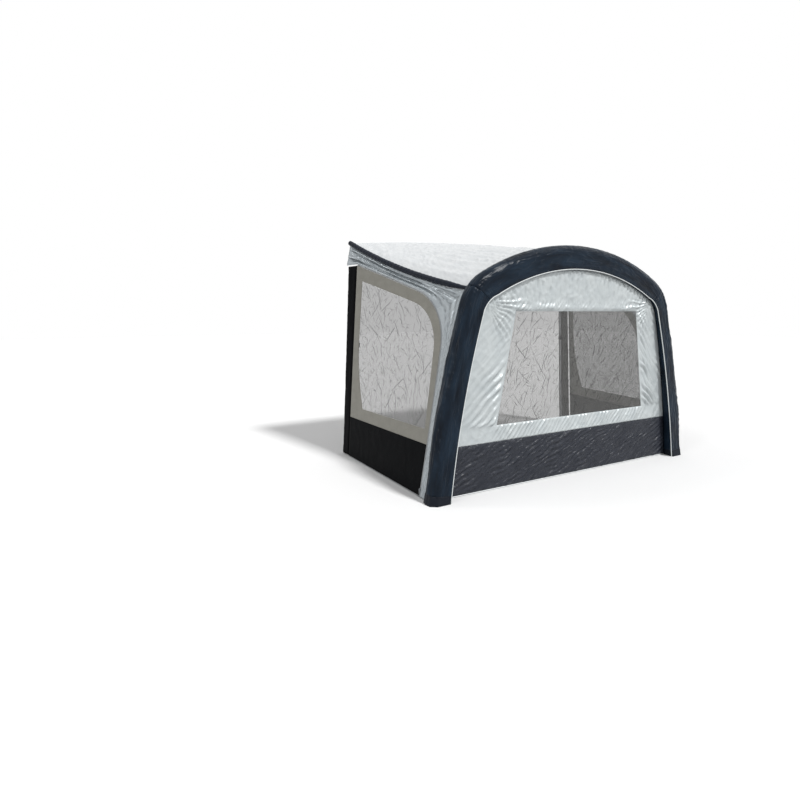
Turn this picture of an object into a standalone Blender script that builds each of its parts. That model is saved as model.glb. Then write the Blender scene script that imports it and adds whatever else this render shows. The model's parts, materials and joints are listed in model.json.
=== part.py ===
# Air-beam porch awning for the side of a caravan, standing as pitched.
# X runs along the caravan, Y points at it and Z is up.  The origin is on the ground,
# in the middle of the awning's width and depth.

import bpy
import bmesh
from math import asin, atan2, cos, hypot, pi, radians, sin
from mathutils import Matrix, Vector

# Shared clearances and sheet stock
GAP = 0.0003
FABRIC = 0.003
STITCH_GAP = 0.0008
SEAM_STANDOFF_SHARE = 0.2
CUT_OVERRUN = 0.004

# Footprint and height of the pitched awning
AWNING_DEPTH = 1.87
FOOT_HALF_WIDTH = 1.577
CORNER_HALF_WIDTH = 1.201
CORNER_HEIGHT = 1.803
ARCH_HEIGHT = 2.156
LEG_BOW = 0.047
CORNER_BLEND = 0.15
RAIL_HEIGHT = 2.40
RAIL_RISE = 0.05
RAIL_HALF_WIDTH = 1.626
REAR_SPLAY = 0.087

# Air beam: bladder, padded sleeve, fascia flange and boots
LEG_RADIUS = 0.085
ARCH_RADIUS = 0.082
SLEEVE_WALL = 0.004
BLADDER_WALL = 0.001
LEG_FASCIA_OVERHANG = 0.020
ARCH_FASCIA_OVERHANG = 0.062
FASCIA_THICKNESS = 0.005
RETURN_AT_FOOT = 0.105
RETURN_AT_CROWN = 0.035
PIPING_RADIUS = 0.0045
BOOT_HEIGHT = 0.07
BOOT_FLOOR = 0.012
BOOT_FLARE = 0.008
TUBE_SIDES = 12
SEAM_VERTEX = 5
LEG_SEGMENTS = 7
CORNER_SEGMENTS = 4
ARCH_SEGMENTS = 16

# Inflation valve on the inside of the right leg
VALVE_STATION = 3
VALVE_FACET = 7
VALVE_NECK_RADIUS = 0.011
VALVE_FLANGE_RADIUS = 0.018
VALVE_FLANGE_THICKNESS = 0.003
VALVE_HEIGHT = 0.014
VALVE_BORE_RADIUS = 0.0065
PLUNGER_LENGTH = 0.009
CAP_WALL = 0.003
CAP_SKIRT = 0.009
CAP_RIBS = 12
CAP_RIB_DEPTH = 0.0008

# Roof
ROOF_EDGE_RADIUS = 0.027
ROOF_EDGE_TAPER_SHARE = 0.6
ROOF_EDGE_SAG = 0.058
ROOF_EDGE_STANDOFF = 0.003
ROOF_EDGE_SIDES = 8
ROOF_EDGE_SEGMENTS = 8
ROOF_EDGE_GATHER = 0.0025
ROOF_SAG = 0.010
BEAD_RADIUS = 0.0035

# Front wall
SKIRT_HEIGHT = 0.445
WINDOW_BOTTOM = 0.595
WINDOW_TOP = 1.61
WINDOW_BOTTOM_HALF = 0.977
WINDOW_TOP_HALF = 0.803
WINDOW_OFFSET = 0.05
WINDOW_CORNER_RADIUS = 0.012
HEM_RADIUS = 0.005
HEM_LIFT = 0.003

# Side walls and doors
PAD_DEPTH = 0.17
PAD_THICKNESS = 0.07
PAD_CHAMFER = 0.012
PAD_CROWN = 0.006
PAD_ROWS = 7
DOOR_DROP = 0.283
ZIP_FOOT_INSET = 0.098
ZIP_CORNER_INSET = 0.20
ZIP_CORNER_DROP = 0.123
ZIP_CORNER_RADIUS = 0.60
ZIP_WIDTH = 0.012
ZIP_THICKNESS = 0.0035
DOOR_WINDOW_BOTTOM = 0.575
DOOR_BORDER_AT_FRONT = 0.062
DOOR_BORDER_AT_TOP = 0.150
DOOR_BORDER_AT_HINGE = 0.10
DOOR_BORDER_FLARE = 0.15
DOOR_FLARE_HEIGHT = 1.30
ZIP_FRONT_SEGMENTS = 6
ZIP_ARC_SEGMENTS = 8
ZIP_TOP_SEGMENTS = 3
DOOR_RISE_SEGMENTS = 4
DOOR_SKIRT_SEGMENTS = 3
PANEL_COLUMNS = 8
PANEL_FOLD_DEPTH = 0.011
PANEL_FOLDS = 2.5

# Zip slider and puller
SLIDER_HEIGHT = 0.065
SLIDER_LENGTH = 0.026
SLIDER_WIDTH = 0.0128
SLIDER_THICKNESS = 0.004
SLIDER_CLEARANCE = 0.0006
PULLER_LENGTH = 0.042
PULLER_WIDTH = 0.009
PULLER_THICKNESS = 0.0025
PULLER_PIN_RADIUS = 0.0012
PULLER_HUB_RADIUS = 0.0026
PULLER_EYE_WALL = 0.0016

# Rear upright poles
POLE_TOP_DROP = 0.030
LOWER_POLE_LENGTH = 1.25
POLE_OVERLAP = 0.16
OUTER_TUBE_RADIUS = 0.0125
TUBE_WALL = 0.0012
TUBE_CLEARANCE = 0.0004
FOOT_RADIUS = 0.018
FOOT_HEIGHT = 0.035
FOOT_SOLE = 0.010
CLAMP_RADIUS = 0.018
CLAMP_HEIGHT = 0.042
CLAMP_SHOULDER = 0.010
CLAMP_EAR_THICKNESS = 0.004
CLAMP_EAR_REACH = 0.016
LEVER_WIDTH = 0.011
LEVER_LENGTH = 0.052
LEVER_THICKNESS = 0.005
LEVER_HUB_RADIUS = 0.0065
LEVER_PIN_RADIUS = 0.002
CUP_RADIUS = 0.016
CUP_HEIGHT = 0.028
CUP_SOCKET = 0.018
CLAMP_BACKSET = 0.085

# Roof brace poles
BRACE_HALF_SPACING = 0.65
BRACE_DROP = 0.050
BRACE_OUTER_SHARE = 0.58
BRACE_OVERLAP = 0.14
BRACE_TUBE_RADIUS = 0.011
BRACE_PAD_RADIUS = 0.019
BRACE_PAD_THICKNESS = 0.012
BRACE_CUP_RADIUS = 0.016
BRACE_CUP_LENGTH = 0.026
BRACE_CUP_DISH = 0.002
COLLAR_RADIUS = 0.0165
COLLAR_LENGTH = 0.048
COLLAR_SHOULDER = 0.010
COLLAR_RIBS = 10
COLLAR_RIB_DEPTH = 0.0015

TURNED_STEPS = 16
PIN_STEPS = 12

# Places that follow from the sizes above
REAR_Y = AWNING_DEPTH / 2
BEAM_Y = -AWNING_DEPTH / 2 + LEG_RADIUS + BOOT_FLARE
HINGE_Y = REAR_Y - PAD_DEPTH
DOOR_HEIGHT = RAIL_HEIGHT - DOOR_DROP
ZIP_CORNER_HEIGHT = CORNER_HEIGHT - ZIP_CORNER_DROP
TUBE_ANGLES = [radians(90 - 360 * k / TUBE_SIDES) for k in range(TUBE_SIDES)]
SEAM_ANGLE = TUBE_ANGLES[SEAM_VERTEX]
SEAM_STANDOFF = GAP + SEAM_STANDOFF_SHARE * FABRIC
ARCH_RISE = ARCH_HEIGHT - CORNER_HEIGHT
ARCH_BEND_RADIUS = (CORNER_HALF_WIDTH ** 2 + ARCH_RISE ** 2) / (2 * ARCH_RISE)
ARCH_HALF_ANGLE = asin(CORNER_HALF_WIDTH / ARCH_BEND_RADIUS)
CORNER_STATION = 1 + LEG_SEGMENTS + CORNER_SEGMENTS // 2
ARCH_START = 1 + LEG_SEGMENTS + CORNER_SEGMENTS
APEX_STATION = ARCH_START + ARCH_SEGMENTS // 2

SIDES = {"left": -1, "right": 1}

COLORS = {
    "navy_sleeve": ((0.030, 0.040, 0.058), 0.62, 0.0),
    "bladder_film": ((0.55, 0.57, 0.60), 0.35, 0.0),
    "silver_fabric": ((0.56, 0.60, 0.60), 0.48, 0.0),
    "roof_fabric": ((0.72, 0.74, 0.74), 0.50, 0.0),
    "taupe_fabric": ((0.24, 0.24, 0.22), 0.70, 0.0),
    "skirt_fabric": ((0.020, 0.022, 0.028), 0.55, 0.0),
    "clear_film": ((0.62, 0.62, 0.60), 0.15, 0.0),
    "pale_piping": ((0.78, 0.80, 0.80), 0.45, 0.0),
    "grey_piping": ((0.36, 0.37, 0.38), 0.50, 0.0),
    "pad_foam": ((0.014, 0.016, 0.022), 0.75, 0.0),
    "zip_tape": ((0.66, 0.67, 0.67), 0.55, 0.0),
    "zinc": ((0.60, 0.60, 0.61), 0.32, 1.0),
    "pole_steel": ((0.50, 0.51, 0.53), 0.30, 1.0),
    "black_plastic": ((0.018, 0.018, 0.020), 0.42, 0.0),
    "grey_rubber": ((0.060, 0.060, 0.064), 0.80, 0.0),
    "valve_plastic": ((0.10, 0.10, 0.11), 0.40, 0.0),
}


def clear_scene():
    for item in list(bpy.data.objects):
        bpy.data.objects.remove(item, do_unlink=True)


def make_collection(name):
    collection = bpy.data.collections.new(name)
    bpy.context.scene.collection.children.link(collection)
    return collection


def make_material(name):
    color, roughness, metallic = COLORS[name]
    material = bpy.data.materials.new(name)
    material.use_nodes = True
    shader = material.node_tree.nodes["Principled BSDF"]
    shader.inputs["Base Color"].default_value = (*color, 1.0)
    shader.inputs["Roughness"].default_value = roughness
    shader.inputs["Metallic"].default_value = metallic
    return material


clear_scene()
PARTS = make_collection("caravan_awning")
CUTTERS = make_collection("cutters")


# Small helpers for points, meshes and modifiers

def lerp(start, end, share):
    return start + (end - start) * share


def lerp_points(start, end, share):
    return [lerp(a, b, share) for a, b in zip(start, end)]


def at_height(points, height):
    for low, high in zip(points, points[1:]):
        if high.z >= height:
            return lerp(low, high, (height - low.z) / (high.z - low.z))
    return points[-1]


def place(name, data, material, matrix=None):
    item = bpy.data.objects.new(name, data)
    PARTS.objects.link(item)
    item.data.materials.append(make_material(material))
    if matrix is not None:
        item.matrix_world = matrix
    return item


def finish_mesh(bm, name, smooth_angle=radians(32)):
    bmesh.ops.recalc_face_normals(bm, faces=bm.faces)
    mesh = bpy.data.meshes.new(name)
    bm.to_mesh(mesh)
    bm.free()
    mesh.shade_smooth()
    mesh.set_sharp_from_angle(angle=smooth_angle)
    return mesh


def add_ring(bm, points):
    return [bm.verts.new(point) for point in points]


def bridge(bm, first, second):
    count = len(first)
    for k in range(count):
        following = (k + 1) % count
        bm.faces.new((first[k], first[following], second[following], second[k]))


def loft(name, rings, material):
    # Closed solid through rings of equal count, with a flat cap on each end
    bm = bmesh.new()
    loops = [add_ring(bm, ring) for ring in rings]
    for first, second in zip(loops, loops[1:]):
        bridge(bm, first, second)
    bm.faces.new(loops[0])
    bm.faces.new(loops[-1])
    return place(name, finish_mesh(bm, name), material)


def ring_solid(bm, rings):
    # Solid with a through bore: the last ring closes on the first
    loops = [add_ring(bm, ring) for ring in rings]
    for k, loop in enumerate(loops):
        bridge(bm, loop, loops[(k + 1) % len(loops)])


def cloth(name, rows, material, closed=False, thickness=FABRIC):
    # Open sheet through rows of points, thickened evenly to both sides
    bm = bmesh.new()
    grid = [add_ring(bm, row) for row in rows]
    for first, second in zip(grid, grid[1:]):
        count = len(first)
        for k in range(count if closed else count - 1):
            following = (k + 1) % count
            bm.faces.new((first[k], first[following], second[following], second[k]))
    mesh = finish_mesh(bm, name, radians(60))
    item = place(name, mesh, material)
    solidify = item.modifiers.new("thickness", "SOLIDIFY")
    solidify.thickness = thickness
    solidify.offset = 0
    solidify.use_even_offset = True
    return item


def strand(name, points, radius, material, resolution=1):
    curve = bpy.data.curves.new(name, "CURVE")
    curve.dimensions = "3D"
    curve.bevel_depth = radius
    curve.bevel_resolution = resolution
    curve.use_fill_caps = True
    spline = curve.splines.new("POLY")
    spline.points.add(len(points) - 1)
    for knot, point in zip(spline.points, points):
        knot.co = (*point, 1)
    return place(name, curve, material)


def flat_panel(name, outlines, material, matrix):
    curve = bpy.data.curves.new(name, "CURVE")
    curve.dimensions = "2D"
    curve.fill_mode = "BOTH"
    curve.extrude = FABRIC / 2
    for outline in outlines:
        spline = curve.splines.new("POLY")
        spline.points.add(len(outline) - 1)
        spline.use_cyclic_u = True
        for knot, point in zip(spline.points, outline):
            knot.co = (point[0], point[1], 0, 1)
    return place(name, curve, material, matrix)


def turned(name, profile, material, matrix=None, steps=TURNED_STEPS):
    # Full turn about Z of (radius, height) points, listed down the outer side.
    # A profile that leaves the axis bare is closed into a ring and keeps its bore.
    bore = all(radius > 0 for radius, _ in profile)
    count = len(profile)
    mesh = bpy.data.meshes.new(name)
    edges = [(k, (k + 1) % count) for k in range(count if bore else count - 1)]
    mesh.from_pydata([(radius, 0, height) for radius, height in profile], edges, [])
    item = place(name, mesh, material, matrix)
    screw = item.modifiers.new("turn", "SCREW")
    screw.axis = "Z"
    screw.steps = steps
    screw.render_steps = steps
    screw.use_merge_vertices = True
    screw.merge_threshold = GAP / steps
    return item


def circle(radius, height, count, center=(0, 0)):
    angles = [2 * pi * k / count for k in range(count)]
    return [Vector((center[0] + radius * cos(a), center[1] + radius * sin(a), height)) for a in angles]


def ribbed_circle(radius, depth, height, ribs):
    points = circle(radius, height, 2 * ribs)
    inset = circle(radius - depth, height, 2 * ribs)
    return [inset[k] if k % 2 else points[k] for k in range(2 * ribs)]


def prism(name, outline, depth, material, matrix=None):
    # Flat outline raised evenly to both sides of the XY plane
    bm = bmesh.new()
    face = bm.faces.new([bm.verts.new((x, y, -depth / 2)) for x, y in outline])
    raised = bmesh.ops.extrude_face_region(bm, geom=[face])["geom"]
    corners = [part for part in raised if isinstance(part, bmesh.types.BMVert)]
    bmesh.ops.translate(bm, verts=corners, vec=(0, 0, depth))
    return place(name, finish_mesh(bm, name), material, matrix)


def rod(radius, length, matrix, steps=TURNED_STEPS):
    # Plain bar along local Z, centred, used as a cutter or as a pin to be joined
    bm = bmesh.new()
    bmesh.ops.create_cone(
        bm, cap_ends=True, segments=steps, radius1=radius, radius2=radius, depth=length
    )
    item = bpy.data.objects.new("bar", finish_mesh(bm, "bar"))
    return keep_as_cutter(item, matrix)


def block(size, matrix):
    bm = bmesh.new()
    bmesh.ops.create_cube(bm, size=1)
    bmesh.ops.scale(bm, vec=size, verts=bm.verts)
    item = bpy.data.objects.new("block", finish_mesh(bm, "block"))
    return keep_as_cutter(item, matrix)


def keep_as_cutter(item, matrix=None):
    if item.name in PARTS.objects:
        PARTS.objects.unlink(item)
    CUTTERS.objects.link(item)
    if matrix is not None:
        item.matrix_world = matrix
    item.hide_render = True
    item.display_type = "WIRE"
    return item


def combine(item, other, operation):
    step = item.modifiers.new(operation.lower(), "BOOLEAN")
    step.operation = operation
    step.solver = "EXACT"
    step.object = other
    return item


def frame_matrix(origin, x_axis, z_axis):
    # Right-handed frame whose Z is exact and whose X is squared up to it
    z_axis = z_axis.normalized()
    x_axis = (x_axis - z_axis * x_axis.dot(z_axis)).normalized()
    y_axis = z_axis.cross(x_axis)
    columns = Matrix((x_axis, y_axis, z_axis)).transposed().to_4x4()
    return Matrix.Translation(origin) @ columns


def coons(bottom, top, rear, front):
    # Grid between four edges: bottom and top run rear to front, rear and front run upwards
    across = len(bottom) - 1
    up = len(rear) - 1
    rows = []
    for i in range(up + 1):
        v = i / up
        row = []
        for j in range(across + 1):
            u = j / across
            blend = lerp(bottom[j], top[j], v) + lerp(rear[i], front[i], u)
            corners = lerp(lerp(bottom[0], bottom[-1], u), lerp(top[0], top[-1], u), v)
            row.append(blend - corners)
        rows.append(row)
    return rows


# Air beam: centreline of the right half as (x, z), its normals and its section

def leg_point(share):
    bow = 4 * LEG_BOW * share * (1 - share)
    return Vector((lerp(FOOT_HALF_WIDTH, CORNER_HALF_WIDTH, share) + bow, CORNER_HEIGHT * share))


def arch_point(angle):
    drop = ARCH_BEND_RADIUS * (1 - cos(angle))
    return Vector((ARCH_BEND_RADIUS * sin(angle), ARCH_HEIGHT - drop))


def half_beam_path():
    boot_share = BOOT_HEIGHT / CORNER_HEIGHT
    leg_end = 1 - CORNER_BLEND / CORNER_HEIGHT
    arch_start = ARCH_HALF_ANGLE - CORNER_BLEND / ARCH_BEND_RADIUS
    path = [leg_point(0)]
    path += [leg_point(lerp(boot_share, leg_end, k / LEG_SEGMENTS)) for k in range(LEG_SEGMENTS + 1)]
    low, corner, high = path[-1], leg_point(1), arch_point(arch_start)
    for k in range(1, CORNER_SEGMENTS + 1):
        share = k / CORNER_SEGMENTS
        path.append(lerp(lerp(low, corner, share), lerp(corner, high, share), share))
    half = ARCH_SEGMENTS // 2
    path += [arch_point(arch_start * (1 - k / half)) for k in range(1, half + 1)]
    return path


PATH = half_beam_path()


def beam_normal(index):
    if index == 0:
        return Vector((1, 0))
    if index == APEX_STATION:
        return Vector((0, 1))
    before = (PATH[index] - PATH[index - 1]).normalized()
    after = (PATH[index + 1] - PATH[index]).normalized()
    along = (before + after).normalized()
    return Vector((along.y, -along.x))


NORMALS = [beam_normal(index) for index in range(len(PATH))]


def on_corner(leg_value, arch_value, index):
    share = (index - 1 - LEG_SEGMENTS) / CORNER_SEGMENTS
    return lerp(leg_value, arch_value, min(max(share, 0), 1))


def beam_radius(index):
    return on_corner(LEG_RADIUS, ARCH_RADIUS, index)


def fascia_reach(index):
    return beam_radius(index) + on_corner(LEG_FASCIA_OVERHANG, ARCH_FASCIA_OVERHANG, index)


def beam_point(side, index, out, front, shift=0):
    # out is measured away from the awning's middle, front towards the viewer, shift along the beam
    point, normal = PATH[index], NORMALS[index]
    x = point.x + normal.x * out - normal.y * shift
    z = point.y + normal.y * out + normal.x * shift
    return Vector((side * x, BEAM_Y - front, z))


def panel_y(height):
    recess = lerp(RETURN_AT_FOOT, RETURN_AT_CROWN, height / ARCH_HEIGHT)
    return BEAM_Y - LEG_RADIUS + recess


def round_ring(side, index, radius, shift=0):
    return [beam_point(side, index, radius * cos(a), radius * sin(a), shift) for a in TUBE_ANGLES]


def sleeve_ring(side, index, flare=0, shift=0):
    # Tube, then the flat fascia that runs inwards from its front and the return behind the fascia
    radius = beam_radius(index) + flare
    tip = -fascia_reach(index)
    root = tip + FASCIA_THICKNESS
    back = BEAM_Y - panel_y(beam_point(side, index, tip, 0).z) + FABRIC / 2 + GAP
    under = radius - FASCIA_THICKNESS
    ring = round_ring(side, index, radius, shift)
    for out, front in ((root, under), (root, back), (tip, back), (tip, radius)):
        ring.append(beam_point(side, index, out, front, shift))
    return ring


def bore_ring(side, index, shift=0):
    return round_ring(side, index, beam_radius(index) - SLEEVE_WALL, shift)


def fascia_end(bm, ring):
    bm.faces.new((ring[TUBE_SIDES - 1], ring[TUBE_SIDES], ring[-1], ring[0]))
    bm.faces.new(ring[TUBE_SIDES:])


def sleeve_end(bm, outer, inner):
    bridge(bm, outer[:TUBE_SIDES], inner)
    fascia_end(bm, outer)


def make_sleeve(name, stations):
    bm = bmesh.new()
    outer = [add_ring(bm, sleeve_ring(side, index, shift=shift)) for side, index, shift in stations]
    inner = [add_ring(bm, bore_ring(side, index, shift)) for side, index, shift in stations]
    for rings in (outer, inner):
        for first, second in zip(rings, rings[1:]):
            bridge(bm, first, second)
    for end in (0, -1):
        sleeve_end(bm, outer[end], inner[end])
    return place(name, finish_mesh(bm, name), "navy_sleeve")


def make_leg_sleeve(name, side):
    stations = [(side, 1, GAP)]
    stations += [(side, index, 0) for index in range(2, CORNER_STATION)]
    stations += [(side, CORNER_STATION, -GAP / 2)]
    return make_sleeve(name + "_leg_sleeve", stations)


def make_arch_sleeve():
    left = [(-1, index, 0) for index in range(CORNER_STATION + 1, APEX_STATION + 1)]
    right = [(1, index, 0) for index in range(APEX_STATION - 1, CORNER_STATION, -1)]
    ends = [(-1, CORNER_STATION, GAP / 2)], [(1, CORNER_STATION, GAP / 2)]
    make_sleeve("arch_sleeve", ends[0] + left + right + ends[1])


def make_boot(name, side):
    # Stiff cup that closes the foot of the sleeve and carries the bladder's end
    bm = bmesh.new()
    sole = add_ring(bm, sleeve_ring(side, 0, BOOT_FLARE))
    rim = add_ring(bm, sleeve_ring(side, 1))
    bore = add_ring(bm, bore_ring(side, 1))
    floor_share = BOOT_FLOOR / BOOT_HEIGHT
    floor = add_ring(bm, lerp_points(bore_ring(side, 0), bore_ring(side, 1), floor_share))
    bridge(bm, sole, rim)
    sleeve_end(bm, rim, bore)
    bridge(bm, bore, floor)
    bm.faces.new(floor)
    bm.faces.new(sole[:TUBE_SIDES])
    fascia_end(bm, sole)
    place(name + "_leg_boot", finish_mesh(bm, name), "navy_sleeve")


def bladder_rings(inset):
    # Closed tube from boot floor to boot floor; inset is the depth below the bladder's skin
    def ring(side, index):
        return round_ring(side, index, beam_radius(index) - SLEEVE_WALL - GAP - inset)

    end_share = (BOOT_FLOOR + GAP + inset) / BOOT_HEIGHT
    left = [ring(-1, index) for index in range(1, APEX_STATION + 1)]
    right = [ring(1, index) for index in range(APEX_STATION - 1, 0, -1)]
    left_end = lerp_points(ring(-1, 0), ring(-1, 1), end_share)
    right_end = lerp_points(ring(1, 0), ring(1, 1), end_share)
    return [left_end] + left + right + [right_end]


def make_bladder():
    # The port below the valve is the skin's only opening
    bladder = loft("air_bladder", bladder_rings(0), "bladder_film")
    air = keep_as_cutter(loft("air", bladder_rings(BLADDER_WALL), "bladder_film"))
    combine(bladder, air, "DIFFERENCE")
    depth = 2 * (SLEEVE_WALL + BLADDER_WALL) + CUT_OVERRUN
    port = rod(VALVE_BORE_RADIUS, depth, valve_frame())
    combine(bladder, port, "DIFFERENCE")


def make_fascia_piping():
    def point(side, index):
        out = -fascia_reach(index) - PIPING_RADIUS - GAP
        return beam_point(side, index, out, beam_radius(index) - PIPING_RADIUS)

    lift_share = HEM_LIFT / BOOT_HEIGHT
    left = [point(-1, index) for index in range(1, APEX_STATION + 1)]
    right = [point(1, index) for index in range(APEX_STATION - 1, 0, -1)]
    left_end = lerp(point(-1, 0), point(-1, 1), lift_share)
    right_end = lerp(point(1, 0), point(1, 1), lift_share)
    strand("fascia_piping", [left_end] + left + right + [right_end], PIPING_RADIUS, "pale_piping")


# Inflation valve, set on a flat of the right leg's tube that faces into the awning

def valve_frame():
    low = sleeve_ring(1, VALVE_STATION)
    high = sleeve_ring(1, VALVE_STATION + 1)
    facet = [low[VALVE_FACET], low[VALVE_FACET + 1], high[VALVE_FACET + 1], high[VALVE_FACET]]
    center = sum(facet, Vector()) / len(facet)
    outwards = (facet[1] - facet[0]).cross(facet[3] - facet[0])
    middle = (beam_point(1, VALVE_STATION, 0, 0) + beam_point(1, VALVE_STATION + 1, 0, 0)) / 2
    if outwards.dot(center - middle) < 0:
        outwards.negate()
    return frame_matrix(center, facet[3] - facet[0], outwards)


def make_valve(sleeve):
    frame = valve_frame()
    wall = SLEEVE_WALL * cos(pi / TUBE_SIDES)
    hole = rod(VALVE_NECK_RADIUS + GAP, 2 * (wall + CUT_OVERRUN), frame)
    combine(sleeve, hole, "DIFFERENCE")
    flange_top = GAP + VALVE_FLANGE_THICKNESS
    turned("valve_body", [
        (VALVE_BORE_RADIUS, VALVE_HEIGHT),
        (VALVE_NECK_RADIUS, VALVE_HEIGHT),
        (VALVE_NECK_RADIUS, flange_top),
        (VALVE_FLANGE_RADIUS, flange_top),
        (VALVE_FLANGE_RADIUS, GAP),
        (VALVE_NECK_RADIUS, GAP),
        (VALVE_NECK_RADIUS, -wall),
        (VALVE_BORE_RADIUS, -wall),
    ], "valve_plastic", frame)
    stem = VALVE_BORE_RADIUS - GAP
    waist = stem / 2
    turned("valve_plunger", [
        (0, VALVE_HEIGHT),
        (waist, VALVE_HEIGHT),
        (waist, VALVE_HEIGHT - PLUNGER_LENGTH / 2),
        (stem, VALVE_HEIGHT - PLUNGER_LENGTH / 2),
        (stem, VALVE_HEIGHT - PLUNGER_LENGTH),
        (0, VALVE_HEIGHT - PLUNGER_LENGTH),
    ], "pale_piping", frame)
    bore = VALVE_NECK_RADIUS + GAP
    ceiling = VALVE_HEIGHT + GAP
    mouth = ceiling - CAP_SKIRT
    grip = bore + CAP_WALL
    cap = loft("valve_cap", [
        circle(bore, ceiling, 2 * CAP_RIBS),
        circle(bore, mouth, 2 * CAP_RIBS),
        ribbed_circle(grip, CAP_RIB_DEPTH, mouth, CAP_RIBS),
        ribbed_circle(grip, CAP_RIB_DEPTH, ceiling + CAP_WALL, CAP_RIBS),
    ], "valve_plastic")
    cap.matrix_world = frame


# Side wall surface: straight rulings from the rear seam to the seam on the leg

def seam_point(side, index, standoff=SEAM_STANDOFF):
    radius = beam_radius(index) + standoff
    if index == 0:
        radius += BOOT_FLARE
    return beam_point(side, index, radius * cos(SEAM_ANGLE), radius * sin(SEAM_ANGLE))


def rear_x(height):
    return RAIL_HALF_WIDTH + REAR_SPLAY * (1 - height / RAIL_HEIGHT)


def wall_x(y, height):
    foot = seam_point(1, 0)
    corner = seam_point(1, CORNER_STATION)
    leg_x = lerp(foot.x, corner.x, height / corner.z)
    return lerp(rear_x(height), leg_x, (REAR_Y - y) / (REAR_Y - corner.y))


def wall_point(side, flat):
    return Vector((side * wall_x(flat.x, flat.y), flat.x, flat.y))


def wall_points(side, flats):
    return [wall_point(side, flat) for flat in flats]


# Zip line in the flat of the wall, as (y, z): up the front, round a corner, back along the top

ZIP_FOOT = Vector((seam_point(1, 1).y + ZIP_FOOT_INSET, 0))
ZIP_CORNER = Vector((seam_point(1, 1).y + ZIP_CORNER_INSET, ZIP_CORNER_HEIGHT))
ZIP_END = Vector((HINGE_Y - ZIP_WIDTH / 2, DOOR_HEIGHT))
ZIP_RISE = (ZIP_CORNER - ZIP_FOOT).normalized()
ZIP_RUN = (ZIP_END - ZIP_CORNER).normalized()
ZIP_TURN = atan2(ZIP_RISE.y, ZIP_RISE.x) - atan2(ZIP_RUN.y, ZIP_RUN.x)
ZIP_TANGENT = ZIP_CORNER_RADIUS * sin(ZIP_TURN / 2) / cos(ZIP_TURN / 2)
ZIP_FRONT_LENGTH = (ZIP_CORNER - ZIP_FOOT).length - ZIP_TANGENT
ZIP_ARC_LENGTH = ZIP_CORNER_RADIUS * ZIP_TURN
ZIP_TOP_LENGTH = (ZIP_END - ZIP_CORNER).length - ZIP_TANGENT
ZIP_LENGTH = ZIP_FRONT_LENGTH + ZIP_ARC_LENGTH + ZIP_TOP_LENGTH
ZIP_ARC_START_SHARE = ZIP_FRONT_LENGTH / ZIP_LENGTH
ZIP_ARC_END_SHARE = 1 - ZIP_TOP_LENGTH / ZIP_LENGTH


def zip_point(share, inset=0):
    # inset is measured from the zip's middle towards the door
    travel = share * ZIP_LENGTH
    if travel <= ZIP_FRONT_LENGTH:
        along = ZIP_RISE
        point = ZIP_FOOT + along * travel
    elif travel <= ZIP_FRONT_LENGTH + ZIP_ARC_LENGTH:
        bend = (travel - ZIP_FRONT_LENGTH) / ZIP_CORNER_RADIUS
        heading = atan2(ZIP_RISE.y, ZIP_RISE.x) - bend
        along = Vector((cos(heading), sin(heading)))
        start = ZIP_CORNER - ZIP_RISE * ZIP_TANGENT
        center = start + Vector((ZIP_RISE.y, -ZIP_RISE.x)) * ZIP_CORNER_RADIUS
        point = center + Vector((-along.y, along.x)) * ZIP_CORNER_RADIUS
    else:
        along = ZIP_RUN
        point = ZIP_END - along * (ZIP_LENGTH - travel)
    return point + Vector((along.y, -along.x)) * inset


def zip_share_at(height):
    return height / ZIP_RISE.y / ZIP_LENGTH


ZIP_EDGE = ZIP_WIDTH / 2 + STITCH_GAP
ZIP_ARC_SHARES = [
    lerp(ZIP_ARC_START_SHARE, ZIP_ARC_END_SHARE, k / ZIP_ARC_SEGMENTS)
    for k in range(ZIP_ARC_SEGMENTS + 1)
]
ZIP_TOP_SHARES = [
    lerp(ZIP_ARC_END_SHARE, 1, k / ZIP_TOP_SEGMENTS) for k in range(1, ZIP_TOP_SEGMENTS + 1)
]


def zip_stations(start, segments):
    # Shares along the zip from start, with the same steps in its curve for all that meets it
    rise = [lerp(start, ZIP_ARC_START_SHARE, k / segments) for k in range(segments)]
    return rise + ZIP_ARC_SHARES + ZIP_TOP_SHARES


# Roof: padded edge tubes, rail bead and the sheet between them

def roof_edge_frame(side, share):
    front = seam_point(side, CORNER_STATION, ROOF_EDGE_STANDOFF)
    rear = Vector((side * (RAIL_HALF_WIDTH - ROOF_EDGE_RADIUS), REAR_Y, RAIL_HEIGHT - ROOF_EDGE_RADIUS))
    center = lerp(front, rear, share)
    center.z -= 4 * ROOF_EDGE_SAG * share * (1 - share)
    along = rear - front
    along.z -= 4 * ROOF_EDGE_SAG * (1 - 2 * share)
    along.normalize()
    inwards = Vector((-side, 0, 0))
    inwards = (inwards - along * inwards.dot(along)).normalized()
    upwards = along.cross(inwards)
    if upwards.z < 0:
        upwards.negate()
    return center, along, inwards, upwards


def roof_edge_radius(share):
    grow = min(share * ROOF_EDGE_SEGMENTS, 1)
    return ROOF_EDGE_RADIUS * lerp(ROOF_EDGE_TAPER_SHARE, 1, grow)


def roof_edge_point(side, share, angle, standoff=0):
    # angle is zero at the inner side of the tube and a quarter turn at its top
    center, along, inwards, upwards = roof_edge_frame(side, share)
    radius = roof_edge_radius(share) + standoff
    point = center + inwards * (radius * cos(angle)) + upwards * (radius * sin(angle))
    if share == 1:
        point += along * ((REAR_Y - point.y) / along.y)
    return point


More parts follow.
